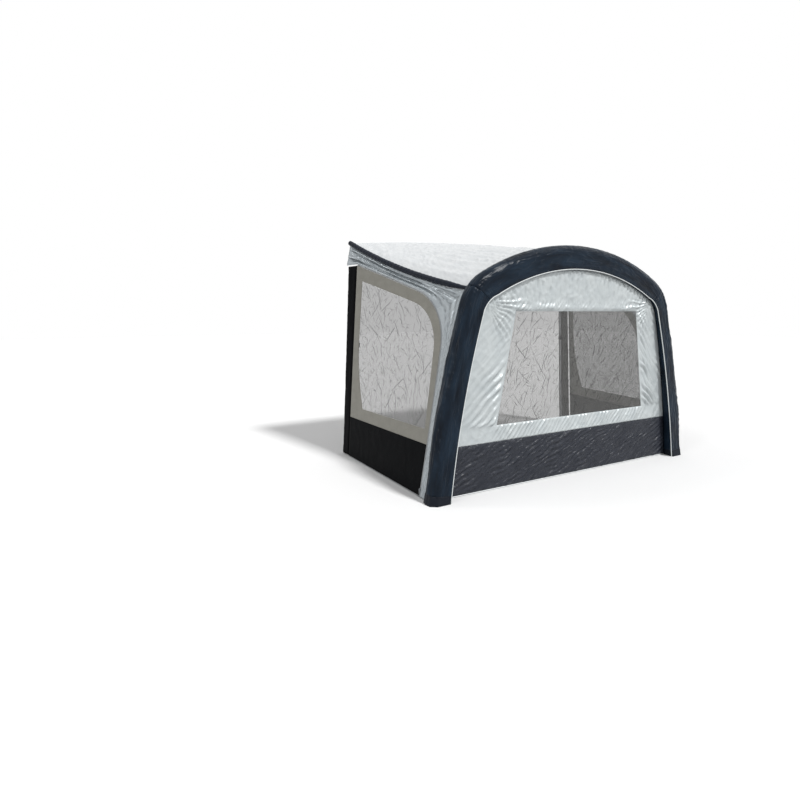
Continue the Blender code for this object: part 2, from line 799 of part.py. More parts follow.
def make_roof_edge(name, side):
    # Gathered cover: every second ring is drawn in
    angles = [2 * pi * k / ROOF_EDGE_SIDES for k in range(ROOF_EDGE_SIDES)]
    rings = []
    for k in range(2 * ROOF_EDGE_SEGMENTS + 1):
        share = k / (2 * ROOF_EDGE_SEGMENTS)
        drawn = -ROOF_EDGE_GATHER if k % 2 else 0
        rings.append([roof_edge_point(side, share, a, drawn) for a in angles])
    loft(name + "_roof_edge", rings, "navy_sleeve")


def seam_beside_corner(side, step):
    # Sewn line on the sleeve where it clears the end of the roof-edge tube
    corner = seam_point(side, CORNER_STATION)
    following = seam_point(side, CORNER_STATION + step)
    reach = ROOF_EDGE_RADIUS * ROOF_EDGE_TAPER_SHARE + STITCH_GAP
    return lerp(corner, following, reach / (following - corner).length)


def roof_front_edge():
    stations = range(CORNER_STATION + 1, APEX_STATION + 1)
    left = [seam_beside_corner(-1, 1)] + [seam_point(-1, index) for index in stations]
    right = [Vector((-point.x, point.y, point.z)) for point in reversed(left[:-1])]
    return left + right


def end_at_rear(points, distance):
    # Shortens the last piece of an edge to end this far in front of the caravan
    before, last = points[-2:]
    share = (REAR_Y - distance - before.y) / (last.y - before.y)
    return points[:-1] + [lerp(before, last, share)]


def roof_side_edge(side):
    points = [seam_beside_corner(side, 1)]
    for k in range(1, ROOF_EDGE_SEGMENTS + 1):
        points.append(roof_edge_point(side, k / ROOF_EDGE_SEGMENTS, 0, SEAM_STANDOFF))
    return end_at_rear(points, 2 * BEAD_RADIUS + SEAM_STANDOFF)


def rail_line(front_edge, corner):
    # Points along the rail over the front edge's stations, rising to the middle
    points = []
    for point in front_edge:
        share = point.x / abs(front_edge[0].x)
        rise = (RAIL_HEIGHT + RAIL_RISE - corner.z) * (1 - share * share)
        points.append(Vector((share * abs(corner.x), corner.y, corner.z + rise)))
    return points


def make_roof():
    front = roof_front_edge()
    left = roof_side_edge(-1)
    right = roof_side_edge(1)
    rear = rail_line(front, left[-1])
    rows = coons(front, rear, left, right)
    last_row, last_column = len(rows) - 1, len(front) - 1
    for i, row in enumerate(rows):
        run = 4 * (i / last_row) * (1 - i / last_row)
        for j, point in enumerate(row):
            spread = abs(2 * j / last_column - 1)
            point.z += run * (ROOF_EDGE_SAG * (1 - spread ** 4) - ROOF_SAG * sin(pi * spread) ** 2)
    cloth("roof_panel", rows, "roof_fabric")
    shift = Vector((0, BEAD_RADIUS + SEAM_STANDOFF, 0))
    strand("rail_bead", [point + shift for point in rear], BEAD_RADIUS, "pale_piping")


# Front wall, one flat plane set back behind the fascia

PANEL_SLOPE = (RETURN_AT_CROWN - RETURN_AT_FOOT) / ARCH_HEIGHT
PANEL_STRETCH = hypot(1, PANEL_SLOPE)


def front_matrix():
    origin = Vector((0, panel_y(0), 0))
    return frame_matrix(origin, Vector((1, 0, 0)), Vector((0, -1, PANEL_SLOPE)))


def fascia_edge():
    # Line on the front wall, behind the return of the right half's fascia
    points = []
    for index in range(APEX_STATION + 1):
        points.append(beam_point(1, index, -fascia_reach(index) + FASCIA_THICKNESS, 0))
    return points


def front_outline(low, high):
    edge = fascia_edge()
    right = [at_height(edge, low)] + [point for point in edge if low < point.z < high]
    if high < edge[-1].z:
        right.append(at_height(edge, high))
    else:
        right.append(edge[-1])
    flats = [(point.x, point.z * PANEL_STRETCH) for point in right]
    mirrored = [(-x, z) for x, z in reversed(flats) if x > 0]
    return flats + mirrored


def window_outline(grow):
    low, high = WINDOW_BOTTOM - grow, WINDOW_TOP + grow
    corners = [
        Vector((WINDOW_OFFSET + WINDOW_BOTTOM_HALF + grow, low)),
        Vector((WINDOW_OFFSET + WINDOW_TOP_HALF + grow, high)),
        Vector((WINDOW_OFFSET - WINDOW_TOP_HALF - grow, high)),
        Vector((WINDOW_OFFSET - WINDOW_BOTTOM_HALF - grow, low)),
    ]
    outline = []
    for k, corner in enumerate(corners):
        before = (corners[k - 1] - corner).normalized() * WINDOW_CORNER_RADIUS
        after = (corners[(k + 1) % len(corners)] - corner).normalized() * WINDOW_CORNER_RADIUS
        rounding = lerp(corner, corner + (before + after) / 2, 1 / 2)
        outline += [corner + before, rounding, corner + after]
    return [(point.x, point.y * PANEL_STRETCH) for point in outline]


def make_front():
    matrix = front_matrix()
    hem_top = HEM_LIFT + 2 * HEM_RADIUS + STITCH_GAP
    top = fascia_edge()[-1].z
    panel = front_outline(SKIRT_HEIGHT + STITCH_GAP / 2, top)
    skirt = front_outline(hem_top, SKIRT_HEIGHT - STITCH_GAP / 2)
    flat_panel("front_panel", [panel, window_outline(0)], "silver_fabric", matrix)
    flat_panel("front_window", [window_outline(-STITCH_GAP)], "clear_film", matrix)
    flat_panel("front_skirt", [skirt], "skirt_fabric", matrix)
    lip = [beam_point(1, index, -fascia_reach(index) - STITCH_GAP, 0) for index in (0, 1)]
    end = at_height(lip, HEM_LIFT + 2 * HEM_RADIUS)
    hem = [Vector((x, panel_y(0), HEM_LIFT + HEM_RADIUS)) for x in (-end.x, end.x)]
    strand("front_hem_piping", hem, HEM_RADIUS, "pale_piping")


# Side walls

def make_rear_pad(name, side):
    # Foam strip that seals against the caravan; its outer face is crowned
    top = zip_point(1, -ZIP_WIDTH / 2).y
    rings = []
    for k in range(PAD_ROWS + 1):
        height = top * k / PAD_ROWS
        crown = PAD_CROWN * sin(pi * k / PAD_ROWS)
        rear, front = wall_x(REAR_Y, height), wall_x(HINGE_Y, height)
        middle = lerp(rear, front, 1 / 2)
        half, chamfer = FABRIC / 2, PAD_CHAMFER
        section = [
            (rear + half - chamfer, REAR_Y),
            (rear + half, REAR_Y - chamfer),
            (middle + half + crown, (REAR_Y + HINGE_Y) / 2),
            (front + half, HINGE_Y + chamfer),
            (front + half - chamfer, HINGE_Y),
            (front - PAD_THICKNESS + chamfer, HINGE_Y),
            (front - PAD_THICKNESS, HINGE_Y + chamfer),
            (rear - PAD_THICKNESS, REAR_Y - chamfer),
            (rear - PAD_THICKNESS + chamfer, REAR_Y),
        ]
        rings.append([Vector((side * x, y, height)) for x, y in section])
    loft(name + "_rear_pad", rings, "pad_foam")


def panel_outer_edge(side):
    seam = [seam_point(side, index) for index in range(CORNER_STATION)]
    seam[0] = lerp(seam[0], seam[1], HEM_LIFT / BOOT_HEIGHT)
    seam.append(seam_beside_corner(side, -1))
    for k in range(1, ROOF_EDGE_SEGMENTS + 1):
        seam.append(roof_edge_point(side, k / ROOF_EDGE_SEGMENTS, -pi / 2, SEAM_STANDOFF))
    return end_at_rear(seam, STITCH_GAP)


def panel_inner_edge(side):
    stations = zip_stations(zip_share_at(HEM_LIFT), ZIP_FRONT_SEGMENTS)
    flats = [zip_point(share, -ZIP_EDGE) for share in stations]
    flats.append(Vector((REAR_Y - STITCH_GAP, flats[-1].y)))
    return wall_points(side, flats)


def make_side_panel(name, side):
    # Loose cloth above the door, with its main folds drawn towards the rail corner
    outer = panel_outer_edge(side)
    inner = panel_inner_edge(side)
    rows = []
    for k, (start, end) in enumerate(zip(outer, inner)):
        row = []
        fullness = max(k / (len(outer) - 1) - 1 / 3, 0) * 3 / 2
        for c in range(PANEL_COLUMNS + 1):
            share = c / PANEL_COLUMNS
            point = lerp(start, end, share)
            wave = sin(2 * pi * PANEL_FOLDS * share) * sin(pi * share)
            point.x += side * PANEL_FOLD_DEPTH * fullness * wave
            row.append(point)
        rows.append(row)
    cloth(name + "_side_panel", rows, "silver_fabric")


def make_zip_chain(name, side):
    shares = zip_stations(zip_share_at(HEM_LIFT), ZIP_FRONT_SEGMENTS)
    rows = []
    for inset in (-ZIP_WIDTH / 2, ZIP_WIDTH / 2):
        rows.append(wall_points(side, [zip_point(share, inset) for share in shares]))
    cloth(name + "_zip_chain", rows, "zip_tape", thickness=ZIP_THICKNESS)


# Doors: taupe surround, clear window, dark skirt and hem, hung on the pad's front edge

DOOR_HINGE_Y = HINGE_Y - STITCH_GAP


def window_border(share):
    start = zip_share_at(DOOR_WINDOW_BOTTOM)
    return lerp(DOOR_BORDER_AT_FRONT, DOOR_BORDER_AT_TOP, (share - start) / (1 - start))


def split_at_curve(points):
    # Front edge upwards and top edge forwards, which meet in the middle of the zip's curve
    middle = DOOR_RISE_SEGMENTS + ZIP_ARC_SEGMENTS // 2
    return points[:middle + 1], points[:middle - 1:-1]


def lerp_rows(start, end, count):
    return [lerp(start, end, k / count) for k in range(count + 1)]


def door_window_sides(shrink):
    # Rear, top, front and bottom edges of the window, in (y, z)
    stations = zip_stations(zip_share_at(DOOR_WINDOW_BOTTOM + shrink), DOOR_RISE_SEGMENTS)
    front, top = split_at_curve([zip_point(s, window_border(s) + shrink) for s in stations])
    rear_reach = HINGE_Y - DOOR_BORDER_AT_HINGE - shrink
    share = (rear_reach - top[1].x) / (top[0].x - top[1].x)
    top[0] = lerp(top[1], top[0], share)
    rear = lerp_rows(Vector((rear_reach, front[0].y)), top[0], len(front) - 1)
    for point in rear:
        droop = max((DOOR_FLARE_HEIGHT - point.y) / (DOOR_FLARE_HEIGHT - DOOR_WINDOW_BOTTOM), 0)
        point.x -= DOOR_BORDER_FLARE * droop ** 2
    bottom = lerp_rows(rear[0], front[0], len(top) - 1)
    return rear, top, front, bottom


def door_outer_sides():
    stations = zip_stations(zip_share_at(SKIRT_HEIGHT + STITCH_GAP / 2), DOOR_RISE_SEGMENTS)
    front, top = split_at_curve([zip_point(s, ZIP_EDGE) for s in stations])
    top[0] = top[0] + ZIP_RUN * ((DOOR_HINGE_Y - top[0].x) / ZIP_RUN.x)
    rear = lerp_rows(Vector((DOOR_HINGE_Y, front[0].y)), top[0], len(front) - 1)
    bottom = lerp_rows(rear[0], front[0], len(top) - 1)
    return rear, top, front, bottom


def around(sides):
    rear, top, front, bottom = sides
    return rear[:-1] + top[:-1] + front[:0:-1] + bottom[:0:-1]


def make_door(name, side):
    outer = wall_points(side, around(door_outer_sides()))
    inner = wall_points(side, around(door_window_sides(0)))
    cloth(name + "_door_surround", [outer, inner], "taupe_fabric", closed=True)
    rear, top, front, bottom = door_window_sides(STITCH_GAP)
    grid = [wall_points(side, row) for row in coons(bottom, top, rear, front)]
    cloth(name + "_door_window", grid, "clear_film")
    low = HEM_LIFT + 2 * HEM_RADIUS + STITCH_GAP
    high = SKIRT_HEIGHT - STITCH_GAP / 2
    rows = []
    for k in range(DOOR_SKIRT_SEGMENTS + 1):
        height = lerp(low, high, k / DOOR_SKIRT_SEGMENTS)
        edge = zip_point(zip_share_at(height), ZIP_EDGE)
        rows.append(lerp_rows(Vector((DOOR_HINGE_Y, edge.y)), edge, ZIP_FRONT_SEGMENTS))
    cloth(name + "_door_skirt", [wall_points(side, row) for row in rows], "skirt_fabric")
    height = HEM_LIFT + HEM_RADIUS
    edge = zip_point(zip_share_at(height), ZIP_EDGE)
    ends = [Vector((DOOR_HINGE_Y - HEM_RADIUS, height)), Vector((edge.x + HEM_RADIUS, height))]
    strand(name + "_door_hem_piping", wall_points(side, ends), HEM_RADIUS, "grey_piping")


# Levers and pull tabs: a hub with its pin, and an arm that hangs from it along -Y of its outline

def make_lever(name, hub_radius, arm_length, arm_thickness, width, pin_radius, pin_length, material, matrix):
    half = arm_thickness / 2
    start = asin(half / hub_radius)
    steps = PIN_STEPS
    outline = []
    for k in range(steps + 1):
        angle = -pi / 2 + start + (2 * pi - 2 * start) * k / steps
        outline.append((hub_radius * cos(angle), hub_radius * sin(angle)))
    tip = arm_length - half
    outline += [(-half, -tip), (0, -arm_length), (half * 2, -arm_length), (half * 2, -tip)]
    outline += [(half, -tip + half * 2)]
    lever = prism(name, outline, width, material, matrix)
    pin = rod(pin_radius, pin_length, matrix, PIN_STEPS)
    return combine(lever, pin, "UNION")


def slider_frame(side, height):
    share = zip_share_at(height)
    base = wall_point(side, zip_point(share))
    ahead = wall_point(side, zip_point(ZIP_ARC_START_SHARE))
    inner = wall_point(side, zip_point(share, ZIP_WIDTH))
    along = (ahead - base).normalized()
    across = inner - base
    outwards = along.cross(across)
    if outwards.x * side < 0:
        outwards.negate()
    return frame_matrix(base, along, outwards)


def make_slider(name, side):
    # Slider body on the chain's outer face, with two lugs for the pull tab's pin
    frame = slider_frame(side, SLIDER_HEIGHT)
    base = ZIP_THICKNESS / 2 + SLIDER_CLEARANCE
    top = base + SLIDER_THICKNESS
    axle = top + PULLER_HUB_RADIUS + GAP
    lug_top = axle + PULLER_HUB_RADIUS
    slot = PULLER_WIDTH / 2 + GAP
    lug = slot + PULLER_EYE_WALL
    half = SLIDER_WIDTH / 2
    outline = [
        (-half, base), (half, base), (half, top), (lug, top), (lug, lug_top), (slot, lug_top),
        (slot, top), (-slot, top), (-slot, lug_top), (-lug, lug_top), (-lug, top), (-half, top),
    ]
    upright = Matrix(((0, 0, 1, 0), (1, 0, 0, 0), (0, 1, 0, 0), (0, 0, 0, 1)))
    slider = prism(name + "_zip_slider", outline, SLIDER_LENGTH, "zinc", frame @ upright)
    pivot = frame @ Matrix.Translation((0, 0, axle))
    crosswise = pivot @ Matrix.Rotation(pi / 2, 4, "X")
    hole = rod(PULLER_PIN_RADIUS + GAP, SLIDER_WIDTH + CUT_OVERRUN, crosswise, PIN_STEPS)
    combine(slider, hole, "DIFFERENCE")
    pin_length = lug + lug
    lean = asin((PULLER_HUB_RADIUS - PULLER_THICKNESS / 2) / (SLIDER_LENGTH / 2))
    turned_down = Matrix(((0, 1, 0, 0), (0, 0, 1, 0), (1, 0, 0, 0), (0, 0, 0, 1)))
    hanging = pivot @ turned_down @ Matrix.Rotation(-lean, 4, "Z")
    make_lever(
        name + "_zip_puller", PULLER_HUB_RADIUS, PULLER_LENGTH, PULLER_THICKNESS,
        PULLER_WIDTH, PULLER_PIN_RADIUS, pin_length, "zinc", hanging,
    )


# Telescopic poles

def make_tube(name, outer_radius, start, end, matrix):
    inner_radius = outer_radius - TUBE_WALL
    return turned(name, [
        (inner_radius, end), (outer_radius, end), (outer_radius, start), (inner_radius, start),
    ], "pole_steel", matrix)


def sliding_radius(outer_radius):
    return outer_radius - TUBE_WALL - TUBE_CLEARANCE


def pole_line(side):
    # Foot and upward direction of the pole that stands against the pad's inner face
    y = REAR_Y - CLAMP_BACKSET
    front_y = seam_point(side, CORNER_STATION).y
    under_roof = roof_edge_frame(side, (y - front_y) / (REAR_Y - front_y))[0]
    height = under_roof.z - POLE_TOP_DROP
    skew = atan2(wall_x(REAR_Y, LOWER_POLE_LENGTH) - wall_x(HINGE_Y, LOWER_POLE_LENGTH), PAD_DEPTH)
    inset = PAD_THICKNESS + (CLAMP_RADIUS + GAP) / cos(skew)
    foot = Vector((side * (wall_x(y, 0) - inset), y, 0))
    top = Vector((side * (wall_x(y, height) - inset), y, height))
    return foot, top


def make_clamp(name, matrix, tube_radius, sliding):
    # Cam clamp: bored body with two ears, closed by a lever between them
    slot = LEVER_WIDTH / 2 + GAP
    ear = slot + CLAMP_EAR_THICKNESS
    reach = CLAMP_RADIUS + CLAMP_EAR_REACH
    start = asin(ear / CLAMP_RADIUS)
    outline = [(reach, ear), (reach, slot), (CLAMP_RADIUS, slot)]
    outline += [(x, -y) for x, y in reversed(outline)]
    for k in range(TURNED_STEPS + 1):
        angle = -start - (2 * pi - 2 * start) * k / TURNED_STEPS
        outline.append((CLAMP_RADIUS * cos(angle), CLAMP_RADIUS * sin(angle)))
    clamp = prism(name + "_pole_clamp", outline, CLAMP_HEIGHT, "black_plastic", matrix)
    narrow = rod(sliding + TUBE_CLEARANCE, 2 * CLAMP_HEIGHT, matrix)
    combine(clamp, narrow, "DIFFERENCE")
    drop = Matrix.Translation((0, 0, -CLAMP_SHOULDER - CLAMP_HEIGHT / 2))
    wide = rod(tube_radius + GAP, 2 * CLAMP_HEIGHT, matrix @ drop)
    combine(clamp, wide, "DIFFERENCE")
    axle = Matrix.Translation((reach - LEVER_HUB_RADIUS - GAP, 0, CLAMP_HEIGHT / 2 - LEVER_HUB_RADIUS))
    pivot = matrix @ axle
    crosswise = pivot @ Matrix.Rotation(pi / 2, 4, "X")
    pin_length = ear + ear
    hole = rod(LEVER_PIN_RADIUS + GAP, pin_length + CUT_OVERRUN, crosswise, PIN_STEPS)
    combine(clamp, hole, "DIFFERENCE")
    make_lever(
        name + "_pole_lever", LEVER_HUB_RADIUS, LEVER_LENGTH, LEVER_THICKNESS,
        LEVER_WIDTH, LEVER_PIN_RADIUS, pin_length, "black_plastic", crosswise,
    )


def make_pole(name, side):
    foot, top = pole_line(side)
    upright = frame_matrix(foot, Vector((-side, 0, 0)), top - foot)
    length = (top - foot).length
    sliding = sliding_radius(OUTER_TUBE_RADIUS)
    socket = OUTER_TUBE_RADIUS + GAP
    sole = turned(name + "_pole_foot", [
        (0, FOOT_SOLE),
        (socket, FOOT_SOLE),
        (socket, FOOT_HEIGHT),
        (FOOT_RADIUS - TUBE_WALL, FOOT_HEIGHT),
        (FOOT_RADIUS, FOOT_HEIGHT - FOOT_SOLE),
        (FOOT_RADIUS, -FOOT_SOLE),
        (0, -FOOT_SOLE),
    ], "grey_rubber", upright)
    below = block((4 * FOOT_RADIUS, 4 * FOOT_RADIUS, 2 * FOOT_HEIGHT),
                  Matrix.Translation((foot.x, foot.y, -FOOT_HEIGHT)))
    combine(sole, below, "DIFFERENCE")
    make_tube(name + "_pole_lower", OUTER_TUBE_RADIUS, FOOT_SOLE + GAP, LOWER_POLE_LENGTH, upright)
    clamp_middle = LOWER_POLE_LENGTH + CLAMP_SHOULDER + GAP - CLAMP_HEIGHT / 2
    make_clamp(name, upright @ Matrix.Translation((0, 0, clamp_middle)), OUTER_TUBE_RADIUS, sliding)
    cup_floor = length - CUP_HEIGHT + CUP_SOCKET
    at_joint = upright @ Matrix.Translation((0, 0, LOWER_POLE_LENGTH))
    make_tube(name + "_pole_upper", sliding, -POLE_OVERLAP, cup_floor - GAP - LOWER_POLE_LENGTH, at_joint)
    at_cup = upright @ Matrix.Translation((0, 0, cup_floor))
    cup_socket = sliding + GAP
    turned(name + "_pole_top_cup", [
        (0, CUP_HEIGHT - CUP_SOCKET),
        (CUP_RADIUS / 2, CUP_HEIGHT - CUP_SOCKET),
        (CUP_RADIUS, (CUP_HEIGHT - CUP_SOCKET) / 2),
        (CUP_RADIUS, 0),
        (cup_socket + TUBE_WALL, -CUP_SOCKET),
        (cup_socket, -CUP_SOCKET),
        (cup_socket, 0),
        (0, 0),
    ], "black_plastic", at_cup)


def arch_height_at(x):
    return ARCH_HEIGHT - ARCH_BEND_RADIUS + (ARCH_BEND_RADIUS ** 2 - x ** 2) ** (1 / 2)


def rim_standoff(tilt, slope):
    # Room for the front cup's tilted rim before the sleeve's sloping rear ridge
    rise = abs(sin(tilt) / cos(tilt))
    facet_fall = sin(pi / TUBE_SIDES) / cos(pi / TUBE_SIDES)
    above = max(cos(slope) * rise - facet_fall, 0)
    return BRACE_CUP_RADIUS * hypot(sin(slope) * rise, above)


def brace_line(side):
    x = side * BRACE_HALF_SPACING
    share = BRACE_HALF_SPACING / RAIL_HALF_WIDTH
    rail = RAIL_HEIGHT + RAIL_RISE * (1 - share ** 2)
    rear = Vector((x, REAR_Y - BRACE_PAD_THICKNESS, rail - BRACE_DROP))
    front = Vector((x, BEAM_Y + ARCH_RADIUS + GAP, arch_height_at(x)))
    tilt = atan2(rear.z - front.z, rear.y - front.y)
    front.y += rim_standoff(tilt, asin(BRACE_HALF_SPACING / ARCH_BEND_RADIUS))
    return front, rear


def make_brace(name, side):
    # Local Z runs from the arch to the caravan
    front, rear = brace_line(side)
    along = frame_matrix(front, Vector((1, 0, 0)), rear - front)
    tilt = atan2(rear.z - front.z, rear.y - front.y)
    length = (rear - front).length - GAP - BRACE_TUBE_RADIUS * abs(sin(tilt))
    sliding = sliding_radius(BRACE_TUBE_RADIUS)
    joint = length * (1 - BRACE_OUTER_SHARE)
    make_tube(name + "_brace_outer", BRACE_TUBE_RADIUS, joint, length, along)
    socket = BRACE_CUP_LENGTH * 3 / 4
    at_joint = along @ Matrix.Translation((0, 0, joint))
    start = BRACE_CUP_LENGTH - socket + GAP - joint
    make_tube(name + "_brace_inner", sliding, start, BRACE_OVERLAP, at_joint)
    bore = sliding + GAP
    turned(name + "_brace_front_cup", [
        (0, BRACE_CUP_LENGTH - socket),
        (bore, BRACE_CUP_LENGTH - socket),
        (bore, BRACE_CUP_LENGTH),
        (bore + TUBE_WALL, BRACE_CUP_LENGTH),
        (BRACE_CUP_RADIUS, BRACE_CUP_DISH * 2),
        (BRACE_CUP_RADIUS, 0),
        (BRACE_CUP_RADIUS - BRACE_CUP_DISH, 0),
        (0, BRACE_CUP_DISH),
    ], "black_plastic", along)
    pad_frame = frame_matrix(rear, Vector((1, 0, 0)), Vector((0, 1, 0)))
    turned(name + "_brace_rear_pad", [
        (0, BRACE_PAD_THICKNESS),
        (BRACE_PAD_RADIUS, BRACE_PAD_THICKNESS),
        (BRACE_PAD_RADIUS, BRACE_PAD_THICKNESS / 2),
        (BRACE_TUBE_RADIUS, 0),
        (0, 0),
    ], "grey_rubber", pad_frame)
    make_collar(name, at_joint, sliding)


def make_collar(name, frame, sliding):
    # Twist lock over the end of the outer tube, ribbed for grip
    near, seat, far = -COLLAR_SHOULDER, -GAP, COLLAR_LENGTH - COLLAR_SHOULDER
    count = 2 * COLLAR_RIBS
    narrow, wide = sliding + TUBE_CLEARANCE, BRACE_TUBE_RADIUS + GAP
    bm = bmesh.new()
    ring_solid(bm, [
        ribbed_circle(COLLAR_RADIUS, COLLAR_RIB_DEPTH, near, COLLAR_RIBS),
        ribbed_circle(COLLAR_RADIUS, COLLAR_RIB_DEPTH, far, COLLAR_RIBS),
        circle(wide, far, count),
        circle(wide, seat, count),
        circle(narrow, seat, count),
        circle(narrow, near, count),
    ])
    place(name + "_brace_collar", finish_mesh(bm, name), "black_plastic", frame)


def build():
    make_bladder()
    make_arch_sleeve()
    make_fascia_piping()
    make_roof()
    make_front()
    for name, side in SIDES.items():
        sleeve = make_leg_sleeve(name, side)
        if side == 1:
            make_valve(sleeve)
        make_boot(name, side)
        make_roof_edge(name, side)
        make_side_panel(name, side)
        make_rear_pad(name, side)
        make_zip_chain(name, side)
        make_door(name, side)
        make_slider(name, side)
        make_pole(name, side)
        make_brace(name, side)


build()
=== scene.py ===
# Porch awning on one air beam: fabric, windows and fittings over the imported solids
import bpy
import bmesh
import json
from math import asin, atan2, ceil, cos, exp, hypot, pi, radians, sin, tan
from mathutils import Matrix, Vector, noise


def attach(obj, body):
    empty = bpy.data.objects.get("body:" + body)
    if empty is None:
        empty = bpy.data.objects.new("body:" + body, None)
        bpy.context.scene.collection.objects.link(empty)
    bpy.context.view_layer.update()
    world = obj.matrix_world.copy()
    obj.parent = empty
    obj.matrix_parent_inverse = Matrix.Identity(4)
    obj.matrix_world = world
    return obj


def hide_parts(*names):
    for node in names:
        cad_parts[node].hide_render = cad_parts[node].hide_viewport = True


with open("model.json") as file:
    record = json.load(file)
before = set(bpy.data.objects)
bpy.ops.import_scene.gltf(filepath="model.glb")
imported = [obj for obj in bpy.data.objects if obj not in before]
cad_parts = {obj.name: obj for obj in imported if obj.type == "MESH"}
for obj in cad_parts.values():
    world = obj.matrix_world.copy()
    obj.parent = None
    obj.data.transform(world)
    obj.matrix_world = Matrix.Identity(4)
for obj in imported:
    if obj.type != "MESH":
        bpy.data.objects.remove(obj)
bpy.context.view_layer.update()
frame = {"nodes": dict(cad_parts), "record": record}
print("frame loaded:", len(frame["nodes"]), "nodes")

sides = {"left": -1, "right": 1}
frontwards = Vector((0, -1, 0))


# small maths

def mix(a, b, t):
    return a + (b - a) * t


def ease(t):
    t = min(max(t, 0), 1)
    return t * t * (3 - 2 * t)


def bump(t):
    return exp(-t * t)


def wobble(x, y, seed):
    return noise.noise(Vector((x, y, seed)))


def patches(x, y, seed, contrast):
    # areas with and without folds, from 0 to 1
    return ease(0.5 + contrast * wobble(x, y, seed))


def crease(x, y, seed):
    # sharp crests on soft valleys, from 0 to 1
    return (1 - min(abs(wobble(x, y, seed)) * 2.2, 1)) ** 2


def ripple(c):
    # one fold per unit, with a narrow crest
    return (0.5 + 0.5 * cos(2 * pi * c)) ** 1.6


def waves(c, warp, x, y, seed):
    # ripples whose spacing wanders
    return ripple(c + warp * wobble(x, y, seed))


def foldsAlong(x, z, degrees, width, seed, warp=0.35):
    # long folds running at an angle, their strength coming and going
    a = radians(degrees)
    alongFold = x * cos(a) + z * sin(a)
    crossFold = -x * sin(a) + z * cos(a)
    strength = 0.35 + 0.65 * patches(crossFold / (width * 1.5), alongFold / 0.30, seed + 4, 1.3)
    return waves(crossFold / width, warp, x / 0.16, z / 0.16, seed) * strength


def steps(start, end, spacing):
    count = max(ceil(abs(end - start) / spacing), 1)
    return [mix(start, end, k / count) for k in range(count + 1)]


def runLengths(points):
    lengths = [0]
    for a, b in zip(points, points[1:]):
        lengths.append(lengths[-1] + (b - a).length)
    return lengths


def resample(points, count):
    # the same line through evenly spaced points
    lengths = runLengths(points)
    result, k = [], 0
    for i in range(count + 1):
        target = lengths[-1] * i / count
        while k < len(points) - 2 and lengths[k + 1] < target:
            k += 1
        run = lengths[k + 1] - lengths[k]
        result.append(mix(points[k], points[k + 1], (target - lengths[k]) / run if run else 0))
    return result


def gridOf(up, across, place):
    # rows of points, each from its shares across and up
    return [[place(j / across, i / up) for j in range(across + 1)] for i in range(up + 1)]


def between(outer, inner, count, place):
    # rows of points from one flat line to another, each from its share of the way and its spot
    shares = [k / count for k in range(count + 1)]
    return [[place(t, mix(a, b, t)) for a, b in zip(outer, inner)] for t in shares]


# the pitched shape, in metres

awning = {
    "depth": 1.87, "footHalf": 1.577, "cornerHalf": 1.201, "cornerHeight": 1.803,
    "archHeight": 2.156, "legBow": 0.047, "cornerBlend": 0.15,
    "railHeight": 2.40, "railRise": 0.05, "railHalf": 1.626, "rearSplay": 0.087,
    "seamStandoff": 0.0009, "stitchGap": 0.0008, "fineSteps": 240, "cornerSteps": 60,
}
beam = {
    "legRadius": 0.085, "archRadius": 0.082, "legOverhang": 0.020, "archOverhang": 0.062,
    "flange": 0.005, "returnAtFoot": 0.105, "returnAtCrown": 0.035,
    "bootHeight": 0.07, "bootFlare": 0.008, "piping": 0.0045,
}
rearY = awning["depth"] / 2
beamY = -awning["depth"] / 2 + beam["legRadius"] + beam["bootFlare"]
seamAngle = radians(-60)
archRise = awning["archHeight"] - awning["cornerHeight"]
archBend = (awning["cornerHalf"] ** 2 + archRise ** 2) / (2 * archRise)


def legPoint(share):
    bow = 4 * awning["legBow"] * share * (1 - share)
    x = mix(awning["footHalf"], awning["cornerHalf"], share) + bow
    return Vector((x, awning["cornerHeight"] * share))


def archPoint(angle):
    return Vector((archBend * sin(angle), awning["archHeight"] - archBend * (1 - cos(angle))))


def beamTable():
    # fine points of the right half, foot to crown: length, point, outward normal, corner share
    fine, cornerSteps = awning["fineSteps"], awning["cornerSteps"]
    legEnd = 1 - awning["cornerBlend"] / awning["cornerHeight"]
    archStart = asin(awning["cornerHalf"] / archBend) - awning["cornerBlend"] / archBend
    points = [(legPoint(legEnd * k / fine), 0) for k in range(fine + 1)]
    low, corner, high = points[-1][0], legPoint(1), archPoint(archStart)
    for k in range(1, cornerSteps + 1):
        t = k / cornerSteps
        points.append((mix(mix(low, corner, t), mix(corner, high, t), t), t))
    points += [(archPoint(archStart * (1 - k / fine)), 1) for k in range(1, fine + 1)]
    table, length, last = [], 0, len(points) - 1
    for k, (point, turn) in enumerate(points):
        before, after = points[max(k - 1, 0)][0], points[min(k + 1, last)][0]
        length += (point - before).length if k else 0
        along = (after - before).normalized() if k < last else Vector((-1, 0))
        table.append((length, point, Vector((along.y, -along.x)), turn))
    return table


path = beamTable()
crownAt = path[-1][0]
cornerAt = next(row[0] for row in path if row[3] >= 0.5)
bootAt = next(row[0] for row in path if row[1].y >= beam["bootHeight"])


def beamAt(s):
    # point, outward normal and corner share at length s from the foot
    s = min(max(s, 0), crownAt)
    low, high = 0, len(path) - 1
    while high - low > 1:
        middle = (low + high) // 2
        if path[middle][0] <= s:
            low = middle
        else:
            high = middle
    a, b = path[low], path[high]
    t = (s - a[0]) / (b[0] - a[0])
    return mix(a[1], b[1], t), mix(a[2], b[2], t).normalized(), mix(a[3], b[3], t)


def tubeRadius(s):
    return mix(beam["legRadius"], beam["archRadius"], beamAt(s)[2])


def flangeReach(s):
    return tubeRadius(s) + mix(beam["legOverhang"], beam["archOverhang"], beamAt(s)[2])


